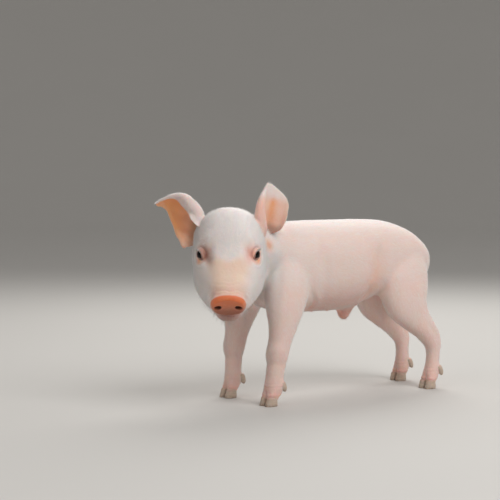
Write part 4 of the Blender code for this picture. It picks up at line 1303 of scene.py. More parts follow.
def hair_object(name, hairs, marks, look):
    """A coat piece from its hairs, with the tints of each root and its flat places.

    The hairs are shaded mostly with the skin's own direction, so that the coat lies as one surface.
    """
    points, faces, flat, shading = hairs
    mesh = bpy.data.meshes.new(name)
    mesh.vertices.add(len(points))
    mesh.vertices.foreach_set("co", points.astype(np.float32).ravel())
    mesh.loops.add(faces.size)
    mesh.loops.foreach_set("vertex_index", faces.astype(np.int32).ravel())
    mesh.polygons.add(len(faces))
    mesh.polygons.foreach_set("loop_start", np.arange(0, faces.size, 3, dtype=np.int32))
    mesh.update(calc_edges=True)
    mesh.validate()
    layer = mesh.uv_layers.new(name="OFBake")
    corner_places = np.clip(flat, 0.002, 0.998)[faces.ravel()]
    layer.data.foreach_set("uv", corner_places.astype(np.float32).ravel())
    keep_marks(mesh, {key: np.repeat(values, HAIR_POINTS) for key, values in marks.items()})
    mesh.shade_smooth()
    mesh.normals_split_custom_set_from_vertices(shading.astype(np.float32))
    mesh.materials.append(look)
    return linked(name, mesh)


def skin_arrays(skin):
    """The skin's points, normals, triangles and attributes as arrays."""
    mesh = skin.data
    values = {
        name: read(mesh.attributes[name].data, "value", 1) for name in (*MARKS, "bare", "fine", "ear")
    }
    return places(mesh), normals(mesh), triangles_of(mesh)[0], values


def areas(points, corners):
    """The areas of triangles: half the length of the cross product of two sides."""
    first, second, third = (points[corners[:, k]] for k in range(3))
    return 0.5 * np.linalg.norm(np.cross(second - first, third - first), axis=1)


def scattered(dice, odds, corners, count):
    """Picks random places in triangles, each triangle as often as its odds say.

    Returns a function that mixes an array's values at a triangle's corners for every place.
    """
    likely = np.flatnonzero(odds > 0)
    picked = likely[dice.choice(len(likely), count, p=odds[likely] / odds[likely].sum())]
    mix = dice.dirichlet((1, 1, 1), count)
    return lambda array: np.einsum("ij,ij...->i...", mix, array[corners[picked]])


def coat_region(points, ear):
    """The place in COAT_REGIONS of the region that each point belongs to."""
    x, y, _ = (points - SHIFT).T
    _, l, _ = of_head(points)
    leg, which = leg_share(points)
    region = np.where(x > 0, 4, 5)
    region = np.where(y < -0.095, 3, region)
    region = np.where(leg > 0.5, np.where(which < 2, 6, 7), region)
    region = np.where(head_share(points) > 0.5, np.where(l > 0, 0, 1), region)
    return np.where(ear > 0.5, 2, region)


#   hairs per region as a share of the densest piece
REGION_HAIRS = (1.0, 1.0, 0.75, 0.8, 1.0, 1.0, 0.65, 0.75)


def make_coat(skin, settings, look):
    """Scatters hairs over the skin, region by region, denser and longer where the body is haired.

    A root is a random place in a triangle picked by area times hairiness, with normal and tints
    mixed from the triangle's corners.
    """
    points, normal, corners, values = skin_arrays(skin)
    haired = areas(points, corners) * (1 - values["bare"][corners].mean(1)) ** 1.5
    haired *= 1 + 0.5 * values["fine"][corners].mean(1)
    region = coat_region(points[corners].mean(1), values["ear"][corners].mean(1))
    dice = np.random.default_rng(settings.seed)
    made = []
    for number, name in enumerate(COAT_REGIONS):
        count = int(settings.hairs * REGION_HAIRS[number] * (1.0))
        mixed = scattered(dice, haired * (region == number), corners, count)
        root, out = mixed(points), unit(mixed(normal))
        fine, bare, ear = mixed(values["fine"]), mixed(values["bare"]), mixed(values["ear"])
        lie = lie_of(root, out, ear)
        swing = dice.normal(0, settings.mess * (1 + 0.6 * ear), count)
        lie = unit(lie * np.cos(swing)[:, None] + np.cross(out, lie) * np.sin(swing)[:, None])
        crown = head_share(root) * ramp(0.010, -0.02, of_head(root)[0]) * (1 - ear)
        length = settings.length * (1 - 0.42 * fine + 0.25 * crown) * (1 - 0.5 * bare)
        length = length * dice.uniform(0.6, 1.35, count)
        lift = settings.lift * dice.uniform(0.4, 1.9, count) * (1 + 0.5 * ear + 1.2 * crown)
        width = settings.width * (1 - 0.35 * fine) * dice.uniform(0.75, 1.2, count)
        hairs = spikes(root, out, lie, length, width, lift, unwrapped(root, out, name))
        marks = {key: mixed(values[key]) for key in MARKS}
        made.append(hair_object("coat_" + name, hairs, marks, look))
    return made


LASHES = 40  # along each upper lid


WHISKERS = 420  # in all


def bristles(name, roots, over, lie, length, width, lift, patch, look):
    """A piece of white hairs that share one width and one rise."""
    count = len(roots)
    white = {key: np.full(count, float(key == "pale")) for key in MARKS}
    hairs = spikes(roots, over, lie, length, np.full(count, width), np.full(count, lift), patch)
    return hair_object(name, hairs, white, look)


def make_lashes(settings, look):
    """Long white lashes along the upper lids.

    At angle t round the opening a root is at W cos t ahead + H sin t over, pushed out onto the lid;
    its lash points out and away from the opening's middle.
    """
    dice = np.random.default_rng(settings.seed + 1)
    roots, outs, lies, lengths = [], [], [], []
    for side in (1, -1):
        centre, look_way, ahead, over = eye_frame(side)
        t = np.linspace(math.radians(176), math.radians(78), LASHES)
        t = t + dice.normal(0, 0.03, LASHES)
        flat = (np.cos(t)[:, None] * EYE_OPENING[0] * 0.98 * ahead
                + np.sin(t)[:, None] * EYE_OPENING[1] * 1.14 * over)
        high = np.sqrt((EYE_RADIUS + LID) ** 2 - (flat**2).sum(1))
        root = centre + flat + high[:, None] * look_way
        roots.append(root)
        outs.append(unit(root - centre))
        lies.append(unit(0.55 * flat / np.linalg.norm(flat, axis=1)[:, None] + 0.95 * look_way
                         + dice.normal(0, 0.10, (LASHES, 3))))
        lengths.append(dice.uniform(0.0040, 0.0070, LASHES))
    roots, outs, lies = np.vstack(roots), np.vstack(outs), np.vstack(lies)
    outs = unit(outs - lies * np.einsum("ij,ij->i", outs, lies)[:, None])
    patch = np.column_stack([np.linspace(0.1, 0.9, len(roots)), np.full(len(roots), 0.5)])
    return bristles("lashes", roots, outs, lies, np.concatenate(lengths), 0.00016, 0.25, patch, look)


def make_whiskers(skin, settings, look):
    """Sparse stiff hairs on the snout's sides, lips, chin and brows."""
    points, normal, corners, _ = skin_arrays(skin)
    middle = points[corners].mean(1)
    a, l, u = of_head(middle)
    chin = bell(u + 0.033, 0.006) * ramp(0.020, 0.035, a) * (a < 0.0605)
    muzzle = ramp(0.036, 0.046, a) * (a < 0.056) * ramp(0.010, 0.016, abs(l)) * 0.5
    brow = 0.0
    for side in (1, -1):
        brow = brow + bell(np.hypot(a + 0.008, l * side - 0.026), 0.005) * (u > 0.015) * 2.2
    odds = areas(points, corners) * (chin + muzzle + brow) * head_share(middle)
    dice = np.random.default_rng(settings.seed + 2)
    mixed = scattered(dice, odds, corners, WHISKERS)
    root, out = mixed(points), unit(mixed(normal))
    lie = lie_of(root, out, np.zeros(WHISKERS)) * -0.2
    lie = lie + out * 0.75 + dice.normal(0, 0.28, (WHISKERS, 3))
    lie = unit(lie + 0.35 * np.array((0, 0, -1)))
    over = unit(out - lie * np.einsum("ij,ij->i", out, lie)[:, None] + 1e-9)
    patch = np.column_stack([dice.uniform(0.1, 0.9, WHISKERS), dice.uniform(0.1, 0.9, WHISKERS)])
    length = dice.uniform(0.0040, 0.0085, WHISKERS)
    return bristles("whiskers", root, over, lie, length, 0.00014, -0.10, patch, look)


# ---- eyes and hooves
CORNEA = 0.00045  # how far the clear bulge stands out


EYE_SIDES = 72  # points round an eyeball, and rings from front to back


def make_eye(name, side, look):
    """An eyeball with a clear bulge in front.

    Ring i lies at angle t from the look: the point is centre + r (cos t look + sin t around), with r
    the radius plus the bulge times a round cap of t.  The angle is kept for the colours.
    """
    centre, look_way, ahead, over = eye_frame(side)
    t = np.linspace(0.02, math.pi - 0.02, EYE_SIDES)[:, None]
    turn = turns(EYE_SIDES)
    reach = EYE_RADIUS + CORNEA * np.clip(1 - (t / 0.85) ** 2, 0, 1) ** 0.5
    around = np.cos(turn)[..., None] * ahead + np.sin(turn)[..., None] * over
    rings = centre + reach[..., None] * (np.cos(t)[..., None] * look_way
                                         + np.sin(t)[..., None] * around)
    made = sleeve_object(name, *sleeve(rings))
    keep_value(made.data, "from_middle",
               np.concatenate([np.repeat(t[:, 0], EYE_SIDES), [0, math.pi]]))
    made.data.materials.append(look)
    return made


def make_eye_corner(name, side, look):
    """The small wet fold in the eye's front corner, a stretched bead against the eyeball.

    At angle t along it and angle s round it a point is at middle + L cos t along +
    sin t (W cos s across + H sin s out).
    """
    centre, look_way, ahead, over = eye_frame(side)
    flat = ahead * EYE_OPENING[0] * 1.10 + over * EYE_OPENING[1] * 0.10
    middle = centre + flat + look_way * math.sqrt((EYE_RADIUS + 0.0001) ** 2 - (flat @ flat))
    t = np.linspace(0.05, math.pi - 0.05, 16)[:, None]
    turn = turns(20)
    out = unit(middle - centre)
    long_way = unit(np.cross(out, np.cross(ahead - 0.2 * over, out)))
    wide_way = np.cross(out, long_way)
    rings = (middle + (0.0014 * np.cos(t) + 0 * turn)[..., None] * long_way
             + (0.0011 * np.sin(t) * np.cos(turn))[..., None] * wide_way
             + (0.0007 * np.sin(t) * np.sin(turn))[..., None] * out)
    made = sleeve_object(name, *sleeve(rings))
    made.data.materials.append(look)
    return made


HOOF_RINGS = (
    (0.0, 0.0012), (0.0, 0.0005), (0.02, 0.00015), (0.06, 0), (0.12, 0), (0.25, 0), (0.4, 0),
    (0.55, 0), (0.7, 0), (0.82, 0), (0.9, 0.0002), (0.96, 0.0004), (1.0, 0.0008), (1.03, 0.0016),
)


CLAW_RINGS = (
    (0, 0.0026), (0.2, 0.0031), (0.4, 0.0032), (0.6, 0.0030), (0.75, 0.0026), (0.87, 0.0019),
    (0.95, 0.0012), (1.0, 0.0004),
)


def horn_object(name, rings, low, high, look):
    """A hoof or claw from its rings; each point's share of the height is kept for the colours."""
    made = sleeve_object(name + "_horn", *sleeve(rings))
    keep_value(made.data, "height", np.clip((places(made.data)[:, 2] - low) / (high - low), 0, 1))
    made.data.materials.append(look)
    return made


def make_hoof(name, turn, look):
    """One hoof as rings round a slanting middle, from the sole to the soft band at its top.

    At height share h and angle t a point is at middle + (W C, D S), C and S being rounded cosine
    and sine: W and D fall with h, the front slopes back, the side facing the other hoof is flatter,
    and the sole's edge is rounded.
    """
    low, high = (np.array(corner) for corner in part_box(name))
    centre, half = (low + high) / 2, (high - low) / 2
    top = high[2]
    t = turns(56)
    h, inset = (column[:, None] for column in np.array(HOOF_RINGS).T)
    c, s = rounded(np.cos(t), 0.86), rounded(np.sin(t), 0.92)
    flatter = np.where(c * turn < 0, 0.90, 1.0)
    wide = (half[0] * (1.02 - 0.05 * h) - inset) * flatter
    deep = half[1] * (0.97 - 0.13 * h) - inset
    slope = 0.0016 * h * (s < 0) * abs(s)
    growth = 0.00008 * np.sin(h * 34 + 0.6 * np.sin(t)) * ramp(0.05, 0.15, h) * ramp(1.0, 0.9, h)
    x = centre[0] + (wide + growth) * c
    y = centre[1] + (deep + growth) * s - 0.0006 * (1 - h) + slope
    return horn_object(name, np.stack([x, y, top * h + 0 * t], -1), 0.0, top, look)


def make_dewclaw(name, look):
    """A blunt claw that points down and back: rings whose radius falls to a round tip.

    At share s and angle t a point is at start + s (end - start) + r (cos t across + 1.15 sin t above).
    """
    low, high = (np.array(corner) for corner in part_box(name))
    start = np.array(((low[0] + high[0]) / 2, low[1] + 0.0012, high[2] - 0.0014))
    end = np.array(((low[0] + high[0]) / 2, high[1] - 0.0012, low[2] + 0.0006))
    share, size = (column[:, None] for column in np.array(CLAW_RINGS).T)
    t = turns(28)
    across = np.array((1.0, 0, 0))
    above = unit(np.cross(across, unit(end - start)))
    rings = (start + share[..., None] * (end - start) + (size * np.cos(t))[..., None] * across
             + (size * 1.15 * np.sin(t))[..., None] * above)
    return horn_object(name, rings, low[2], high[2], look)


# ---- materials
class Nodes:
    """Places and joins a node tree's nodes, with a few short names for the common ones."""

    def __init__(self, tree):
        self.tree = tree

    def add(self, kind, inputs=(), **settings):
        """A new node, with its inputs joined or set."""
        node = self.tree.nodes.new(kind)
        for key, value in settings.items():
            setattr(node, key, value)
        for key, value in dict(inputs).items():
            if isinstance(value, bpy.types.NodeSocket):
                self.tree.links.new(value, node.inputs[key])
            else:
                node.inputs[key].default_value = value
        return node

    def math(self, operation, one, two=0.0, clamp=False):
        """Output of a sum, product or other operation."""
        node = self.add("ShaderNodeMath", {0: one, 1: two}, operation=operation, use_clamp=clamp)
        return node.outputs[0]

    def ramp(self, value, low, high, start=0.0, end=1.0):
        """A value eased from one range into another."""
        node = self.add("ShaderNodeMapRange", {"Value": value, "From Min": low, "From Max": high,
                                               "To Min": start, "To Max": end},
                        interpolation_type="SMOOTHSTEP")
        return node.outputs["Result"]

    def mix(self, share, one, two, blend="MIX"):
        """Two colours mixed by a share."""
        node = self.add("ShaderNodeMix", {0: share, 6: one, 7: two}, data_type="RGBA",
                        blend_type=blend)
        return node.outputs[2]

    def noise(self, vector, scale, detail=3.0, rough=0.55):
        """Cloudy noise at a place."""
        node = self.add("ShaderNodeTexNoise", {"Vector": vector, "Scale": scale, "Detail": detail,
                                               "Roughness": rough})
        return node.outputs["Fac"]

    def attribute(self, name):
        """A value kept on the mesh."""
        return self.add("ShaderNodeAttribute", attribute_name=name).outputs["Fac"]

    def object_place(self):
        """Place on the object."""
        return self.add("ShaderNodeTexCoord").outputs["Object"]

    def join(self, output, shader, name):
        """Feeds an output into an input of the shader."""
        self.tree.links.new(output, shader.inputs[name])

    def bump(self, shader, height, strength, distance):
        """Raises the surface by a height."""
        node = self.add("ShaderNodeBump", {"Height": height, "Strength": strength,
                                           "Distance": distance})
        self.join(node.outputs["Normal"], shader, "Normal")


def colour(value):
    """A colour with full opacity."""
    return (*value, 1.0)


def new_group(name, inputs, outputs):
    """An empty shader node group with named sockets, given as (name, kind, default)."""
    group = bpy.data.node_groups.new(name, "ShaderNodeTree")
    for title, kind, default in inputs:
        socket = group.interface.new_socket(title, in_out="INPUT", socket_type="NodeSocket" + kind)
        socket.default_value = default
    for title, kind in outputs:
        group.interface.new_socket(title, in_out="OUTPUT", socket_type="NodeSocket" + kind)
    nodes = Nodes(group)
    start = nodes.add("NodeGroupInput")
    end = nodes.add("NodeGroupOutput")
    return group, nodes, start, end


def tint_group(colours):
    """Lays the body's tints and painted shade over a base colour; skin and coat share it, so they
    match.
    """
    group, nodes, start, end = new_group(
        "Piglet tints",
        [("Base", "Color", colour(colours.skin)), ("Strength", "Float", 1.0),
         ("Mottle", "Float", 1.0)],
        [("Color", "Color"), ("Painted shade", "Float"), ("Amber", "Float")],
    )
    place_on = nodes.object_place()
    patchy = nodes.noise(place_on, 34.0, 4.0)
    fine = nodes.noise(place_on, 260.0, 3.0)
    found = start.outputs["Base"]
    for name, tint, least in (("beige", colours.beige, 0.75), ("rose", colours.rose, 0.85),
                              ("amber", colours.amber, 1.0), ("honey", colours.honey, 0.9)):
        amount = nodes.math("MULTIPLY", nodes.attribute(name), start.outputs["Strength"])
        amount = nodes.math("MULTIPLY", amount, nodes.ramp(patchy, 0.25, 0.7, least, 1.1), True)
        found = nodes.mix(amount, found, colour(tint))
    # painted shade of hollows, creases, nostrils, mouth, lower disc and chin, laid over the tints
    painted_shade = nodes.attribute("painted_shade")
    found = nodes.mix(nodes.math("MULTIPLY", painted_shade, 0.94), found, colour(colours.painted_shade))
    both = nodes.math("ADD", nodes.math("MULTIPLY", patchy, 0.9), nodes.math("MULTIPLY", fine, 0.1))
    mottle = nodes.math("MULTIPLY", start.outputs["Mottle"], nodes.math("SUBTRACT", both, 0.5))
    found = nodes.mix(nodes.math("MULTIPLY", mottle, 1.1, True), found, colour(colours.rose))
    group.links.new(found, end.inputs["Color"])
    group.links.new(painted_shade, end.inputs["Painted shade"])
    group.links.new(nodes.attribute("amber"), end.inputs["Amber"])
    return group


def grain_group():
    """Fine relief of skin or horn: a net of tiny cells, soft wrinkles and pores, as one height."""
    group, nodes, start, end = new_group(
        "Fine relief",
        [("Cells", "Float", 1.0), ("Wrinkles", "Float", 1.0), ("Size", "Float", 1.0)],
        [("Height", "Float")],
    )
    place_on = nodes.object_place()
    sized = nodes.add("ShaderNodeVectorMath", {0: place_on, "Scale": start.outputs["Size"]},
                      operation="SCALE").outputs[0]
    cell = nodes.add("ShaderNodeTexVoronoi", {"Vector": sized, "Scale": 900.0, "Randomness": 0.9},
                     feature="DISTANCE_TO_EDGE").outputs["Distance"]
    cell = nodes.ramp(cell, 0.0, 0.16)
    bent = nodes.add("ShaderNodeTexNoise", {"Vector": sized, "Scale": 90.0, "Detail": 5.0,
                                            "Roughness": 0.6, "Distortion": 1.2}).outputs["Fac"]
    crease = nodes.math("ABSOLUTE", nodes.math("SUBTRACT", bent, 0.5))
    crease = nodes.ramp(crease, 0.0, 0.10)
    height = nodes.math("ADD", nodes.math("MULTIPLY", cell, start.outputs["Cells"]),
                        nodes.math("MULTIPLY", crease, start.outputs["Wrinkles"]))
    group.links.new(height, end.inputs["Height"])
    return group


def new_material(name):
    """A material with its helper for nodes and its shader."""
    made = bpy.data.materials.new(name)
    made.use_nodes = True
    nodes = Nodes(made.node_tree)
    shader = made.node_tree.nodes["Principled BSDF"]
    return made, nodes, shader


def tell(node, values):
    """Sets inputs of a node to constants."""
    for name, value in values.items():
        node.inputs[name].default_value = value


def skin_material(colours, tints, grain, name, through_light):
    """Soft skin; thin ears let more light through than the thick hide."""
    made, nodes, shader = new_material(name)
    tinted = nodes.add("ShaderNodeGroup", {"Base": colour(colours.skin), "Mottle": 0.7},
                       node_tree=tints)
    relief = nodes.add("ShaderNodeGroup", {"Cells": 0.5, "Wrinkles": 0.8}, node_tree=grain)
    amber, painted_shade = tinted.outputs["Amber"], tinted.outputs["Painted shade"]
    shown = nodes.mix(nodes.math("MULTIPLY", nodes.attribute("pale"), 0.55),
                      tinted.outputs["Color"], colour(colours.white))
    nodes.join(shown, shader, "Base Color")
    rough = nodes.ramp(amber, 0.2, 0.9, 0.55, 0.36)
    rough = nodes.math("SUBTRACT", rough, nodes.math("MULTIPLY", painted_shade, 0.15))
    nodes.join(rough, shader, "Roughness")
    nodes.bump(shader, relief.outputs["Height"], 0.35, 0.0004)
    tell(shader, {
        "Subsurface Weight": through_light, "Subsurface Radius": (1.0, 0.30, 0.16),
        "Subsurface Scale": 0.014 * through_light**2, "Specular IOR Level": 0.38,
        "Sheen Weight": 0.45, "Sheen Roughness": 0.45, "Sheen Tint": (1.0, 0.95, 0.92, 1.0),
    })
    return made


HAIR_TINT = 0.32  # how much of the skin's tints the coat takes on


HAIR_THROUGH = 0.75  # share of the light that passes a hair


def hair_material(colours, tints, name):
    """White hair laid over the skin's tints, fine enough to let most of the light on."""
    made, nodes, shader = new_material(name)
    tinted = nodes.add("ShaderNodeGroup", {"Base": colour(colours.hair), "Strength": HAIR_TINT,
                                           "Mottle": 0.15}, node_tree=tints)
    shown = nodes.mix(nodes.attribute("pale"), tinted.outputs["Color"], colour(colours.white))
    nodes.join(shown, shader, "Base Color")
    in_shadow = nodes.add("ShaderNodeLightPath").outputs["Is Shadow Ray"]
    solid = nodes.math("SUBTRACT", 1.0, nodes.math("MULTIPLY", in_shadow, HAIR_THROUGH))
    nodes.join(solid, shader, "Alpha")
    tell(shader, {"Roughness": 0.42, "Specular IOR Level": 0.45, "Sheen Weight": 0.15})
    return made


def eye_material(colours):
    """Dark iris with fine spokes round a black pupil, and a bluish white at the far rim."""
    made, nodes, shader = new_material("Piglet eye")
    angle = nodes.attribute("from_middle")
    spokes = nodes.noise(nodes.object_place(), 900.0, 4.0)
    iris = nodes.mix(nodes.ramp(spokes, 0.35, 0.7), colour(colours.iris),
                     colour([channel * 2.2 for channel in colours.iris]))
    iris = nodes.mix(nodes.ramp(angle, 0.68, 0.80), iris, (0.004, 0.003, 0.002, 1))
    ball = nodes.mix(nodes.ramp(angle, 0.42, 0.50), (0.0015, 0.0012, 0.001, 1), iris)
    white = nodes.mix(nodes.ramp(spokes, 0.4, 0.7), (0.22, 0.13, 0.11, 1), (0.13, 0.05, 0.04, 1))
    nodes.join(nodes.mix(nodes.ramp(angle, 0.86, 0.98), ball, white), shader, "Base Color")
    tell(shader, {"Roughness": 0.12, "Specular IOR Level": 0.10, "Coat Weight": 0.40,
                  "Coat IOR": 1.34, "Coat Roughness": 0.03})
    return made


def wet_material(grain):
    """Moist red skin with fine veins, for the corners of the eyes."""
    made, nodes, shader = new_material("Wet pink fold")
    blood = nodes.noise(nodes.object_place(), 1300.0, 3.0)
    shown = nodes.mix(nodes.ramp(blood, 0.35, 0.65), (0.30, 0.07, 0.05, 1), (0.16, 0.04, 0.03, 1))
    nodes.join(shown, shader, "Base Color")
    relief = nodes.add("ShaderNodeGroup", {"Size": 2.0}, node_tree=grain)
    nodes.bump(shader, relief.outputs["Height"], 0.15, 0.0002)
    tell(shader, {"Roughness": 0.18, "Subsurface Weight": 0.3, "Subsurface Scale": 0.001,
                  "Coat Weight": 0.6})
    return made


def horn_material(colours, grain):
    """Pale horn, pinker under the soft band, with growth lines and a scuffed, stained edge."""
    made, nodes, shader = new_material("Piglet horn")
    height = nodes.attribute("height")
    place_on = nodes.object_place()
    stretched = nodes.add("ShaderNodeMapping", {"Vector": place_on, "Scale": (160, 160, 1500)})
    lines = nodes.noise(stretched.outputs[0], 1.0, 3.0)
    stain = nodes.noise(place_on, 420.0, 4.0)
    horn = nodes.mix(nodes.ramp(lines, 0.3, 0.7), colour(colours.horn),
                     colour([channel * 0.78 for channel in colours.horn]))
    horn = nodes.mix(nodes.ramp(height, 0.65, 1.0, 0.0, 0.7), horn, (0.62, 0.40, 0.33, 1))
    worn = nodes.math("MULTIPLY", nodes.ramp(height, 0.35, 0.0), nodes.ramp(stain, 0.35, 0.65))
    horn = nodes.mix(nodes.math("MULTIPLY", worn, 0.75), horn, (0.16, 0.11, 0.075, 1))
    nodes.join(horn, shader, "Base Color")
    nodes.join(nodes.ramp(stain, 0.3, 0.7, 0.34, 0.56), shader, "Roughness")
    relief = nodes.add("ShaderNodeGroup", {"Cells": 0.2, "Wrinkles": 0.6}, node_tree=grain)
    nodes.bump(shader, nodes.math("ADD", relief.outputs["Height"], lines), 0.3, 0.0003)
    tell(shader, {"Subsurface Weight": 0.15, "Subsurface Scale": 0.0015})
    return made


def floor_material(colours):
    """Matte paper sweep with a hardly visible tooth."""
    made, nodes, shader = new_material("Studio sweep")
    place_on = nodes.object_place()
    tone = nodes.noise(place_on, 1.5, 2.0)
    shown = nodes.mix(nodes.ramp(tone, 0.3, 0.7, 0.0, 0.12), colour(colours.floor),
                      colour([channel * 0.93 for channel in colours.floor]))
    nodes.join(shown, shader, "Base Color")
    nodes.bump(shader, nodes.noise(place_on, 500.0, 2.0), 0.05, 0.0005)
    tell(shader, {"Roughness": 0.9, "Specular IOR Level": 0.15})
    return made


# ---- what a user would change
def tint(title, words, default):
    """A colour setting."""
    return FloatVectorProperty(name=title, description=words, subtype="COLOR", size=3, min=0.0,
                               max=1.0, default=default)


class PigletColours(bpy.types.PropertyGroup):
    """Base colours of skin, hair, eyes, horn and studio."""

    skin: tint("Skin", "Plain skin under the coat", (0.86, 0.665, 0.60))
    hair: tint("Hair", "Coat of the trunk", (0.95, 0.87, 0.84))
    white: tint("White", "Hair of the face, lashes and whiskers", (0.96, 0.93, 0.92))
    # rose: on the lower trunk and in the flank's hollow partly painted shade
    rose: tint("Rose", "Thin skin of belly, groin, lids and joints", (0.80, 0.40, 0.32))
    # amber: fuller on the disc's top as painted light, and painted shade in the right eye's trough
    amber: tint("Amber", "Snout disc", (0.76, 0.20, 0.07))
    # honey: along the left ear's fold partly painted shade
    honey: tint("Honey", "Insides of the ears", (0.96, 0.45, 0.19))
    beige: tint("Beige", "Thinly haired bridge of the snout", (0.84, 0.62, 0.48))
    # painted shade: the darkening painted into hollows, creases, nostrils, the mouth's line, the
    # disc's lower half and under the chin
    painted_shade: tint("Painted shade", "Hollows of nostrils, ears and mouth", (0.045, 0.014, 0.010))
    iris: tint("Iris", "Eye colour", (0.020, 0.009, 0.005))
    horn: tint("Horn", "Hooves and dewclaws", (0.62, 0.49, 0.39))
    floor: tint("Floor", "Studio sweep", (0.60, 0.59, 0.57))


class PigletCoat(bpy.types.PropertyGroup):
    """Number, size and lie of the hairs."""

    seed: IntProperty(name="Seed", description="Start of the random places", default=7, min=0)
    hairs: IntProperty(name="Hairs", description="Hairs of the fullest coat piece", default=19800,
                       min=100, max=19900)
    length: FloatProperty(name="Length", description="Length of a hair on the trunk", default=0.0050,
                          min=0.001, max=0.012, subtype="DISTANCE", unit="LENGTH")
    width: FloatProperty(name="Width", description="Thickness of a hair at its root", default=0.00012,
                         min=0.00003, max=0.001, precision=5, subtype="DISTANCE", unit="LENGTH")
    lift: FloatProperty(name="Lift", description="Rise of a hair as a share of its length",
                        default=0.17, min=0.0, max=1.0, subtype="FACTOR")
    mess: FloatProperty(name="Mess", description="Spread of the lie", default=0.20, min=0.0, max=1.5,
                        subtype="ANGLE", unit="ROTATION")
    depth: FloatProperty(name="Skin depth", description="How far the skin lies inside the coat",
                         default=0.0007, min=0.0, max=0.003, precision=4, subtype="DISTANCE",
                         unit="LENGTH")


class PigletStudio(bpy.types.PropertyGroup):
    """Light and sweep."""

    key: FloatProperty(name="Key", description="Power of the large soft light above", default=18.0,
                       min=0.0, unit="POWER")
    front: FloatProperty(name="Front", description="Power of the weak light from the other side",
                         default=2.6, min=0.0, unit="POWER")
    back: FloatProperty(name="Back", description="Power of the light behind", default=14.0,
                        min=0.0, unit="POWER")
    sky: FloatProperty(name="Sky", description="Strength of the pale surround", default=0.40,
                       min=0.0)
    reach: FloatProperty(name="Reach", description="Radius of the flat floor", default=6.0, min=1.0,
                         subtype="DISTANCE", unit="LENGTH")


# ---- one operator per piece
def held(thing, slot, *nodes):
    """Attaches a finished piece to the body and hides the solids it stands for; slot is not used."""
    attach(thing, BODY)
    if nodes:
        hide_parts(*nodes)
    return thing


def shared(context):
    """The two node groups that several materials use, made on first need."""
    colours = context.scene.piglet_colours
    tints = bpy.data.node_groups.get("Piglet tints") or tint_group(colours)
    grain = bpy.data.node_groups.get("Fine relief") or grain_group()
    return colours, tints, grain


class PIGLET_OT_skin(bpy.types.Operator):
    """Makes the one skin that stands for all the flesh"""

    bl_idname = "piglet.skin"
    bl_label = "Skin"

    def execute(self, context):
        colours, tints, grain = shared(context)
        skin = finish_skin(make_skin(context.scene.piglet_coat.depth))
        skin.data.materials.clear()
        skin.data.materials.append(skin_material(colours, tints, grain, "Piglet skin", 0.45))
        skin.data.materials.append(skin_material(colours, tints, grain, "Ear skin", 1.0))
        held(skin, "skin", "head", "neck", "trunk", "tail", "ear_left", "ear_right", "foreleg_left",
             "foreleg_right", "hindleg_left", "hindleg_right")
        return {"FINISHED"}


class PIGLET_OT_eyes(bpy.types.Operator):
    """Makes both eyeballs and the wet folds in their front corners"""

    bl_idname = "piglet.eyes"
    bl_label = "Eyes"

    def execute(self, context):
        colours, _, grain = shared(context)
        ball, wet = eye_material(colours), wet_material(grain)
        for name, side in (("eye_left", 1), ("eye_right", -1)):
            held(make_eye(name + "_ball", side, ball), "eye", name)
            held(make_eye_corner(name + "_corner", side, wet), "skin")
        return {"FINISHED"}


class PIGLET_OT_hooves(bpy.types.Operator):
    """Makes the eight hooves and eight dewclaws"""

    bl_idname = "piglet.hooves"
    bl_label = "Hooves"

    def execute(self, context):
        colours, _, grain = shared(context)
        horn = horn_material(colours, grain)
        for _, way, leg in LEGS:
            for place, turn in (("outer", way), ("inner", -way)):
                name = leg + "_hoof_" + place
                held(make_hoof(name, turn, horn), "horn", name)
                name = leg + "_dewclaw_" + place
                held(make_dewclaw(name, horn), "horn", name)
        return {"FINISHED"}


class PIGLET_OT_coat(bpy.types.Operator):
    """Grows the short coat over the skin, then lashes and whiskers"""

    bl_idname = "piglet.coat"
    bl_label = "Coat"

    def execute(self, context):
        colours, tints, _ = shared(context)
        settings = context.scene.piglet_coat
        skin = context.scene.objects["skin"]
        look = hair_material(colours, tints, "Piglet hair")
        for thing in make_coat(skin, settings, look):
            held(thing, "skin")
        pale = hair_material(colours, tints, "White bristle")
        held(make_lashes(settings, pale), "skin")
        held(make_whiskers(skin, settings, pale), "skin")
        return {"FINISHED"}


SWEEP_SIDES = 96


def make_sweep(reach, look):
    """A floor of revolution: flat to the reach, then a quarter round up to a wall."""
    t = np.linspace(0, 1, 24)
    flat = np.column_stack([reach * t, 0 * t])
    bend = np.column_stack([reach + reach * np.sin(t * math.pi / 2),
                            reach * (1 - np.cos(t * math.pi / 2))])[1:]
    rows = np.vstack([flat, bend])
    turn = turns(SWEEP_SIDES)[0]
    points = np.stack([np.outer(rows[:, 0], np.cos(turn)), np.outer(rows[:, 0], np.sin(turn)),
                       np.repeat(rows[:, 1:], SWEEP_SIDES, axis=1)], -1).reshape(-1, 3)
    i, j = np.meshgrid(np.arange(len(rows) - 1), np.arange(SWEEP_SIDES), indexing="ij")
    here, after = i * SWEEP_SIDES, (j + 1) % SWEEP_SIDES
    further = here + SWEEP_SIDES
    faces = np.stack([here + j, further + j, further + after, here + after], -1).reshape(-1, 4)
    made = new_object("sweep", points, faces.tolist())
    made.data.materials.append(look)
    return made


def aimed(thing, place_at, way):
    """Stands a light or camera at a place so that it looks a given way."""
    thing.location = place_at
    thing.rotation_mode = "QUATERNION"
    thing.rotation_quaternion = Vector(way).to_track_quat("-Z", "Y")
    return thing


def soft_light(name, place_at, aim, size, power, warmth):
    """A round soft light of a given width in metres and power in watts, aimed at a point."""
    light = bpy.data.lights.new(name, "AREA")
    light.shape = "DISK"
    light.size = size
    light.energy = power
    light.color = warmth
    return aimed(linked(name, light), place_at, aim - place_at)


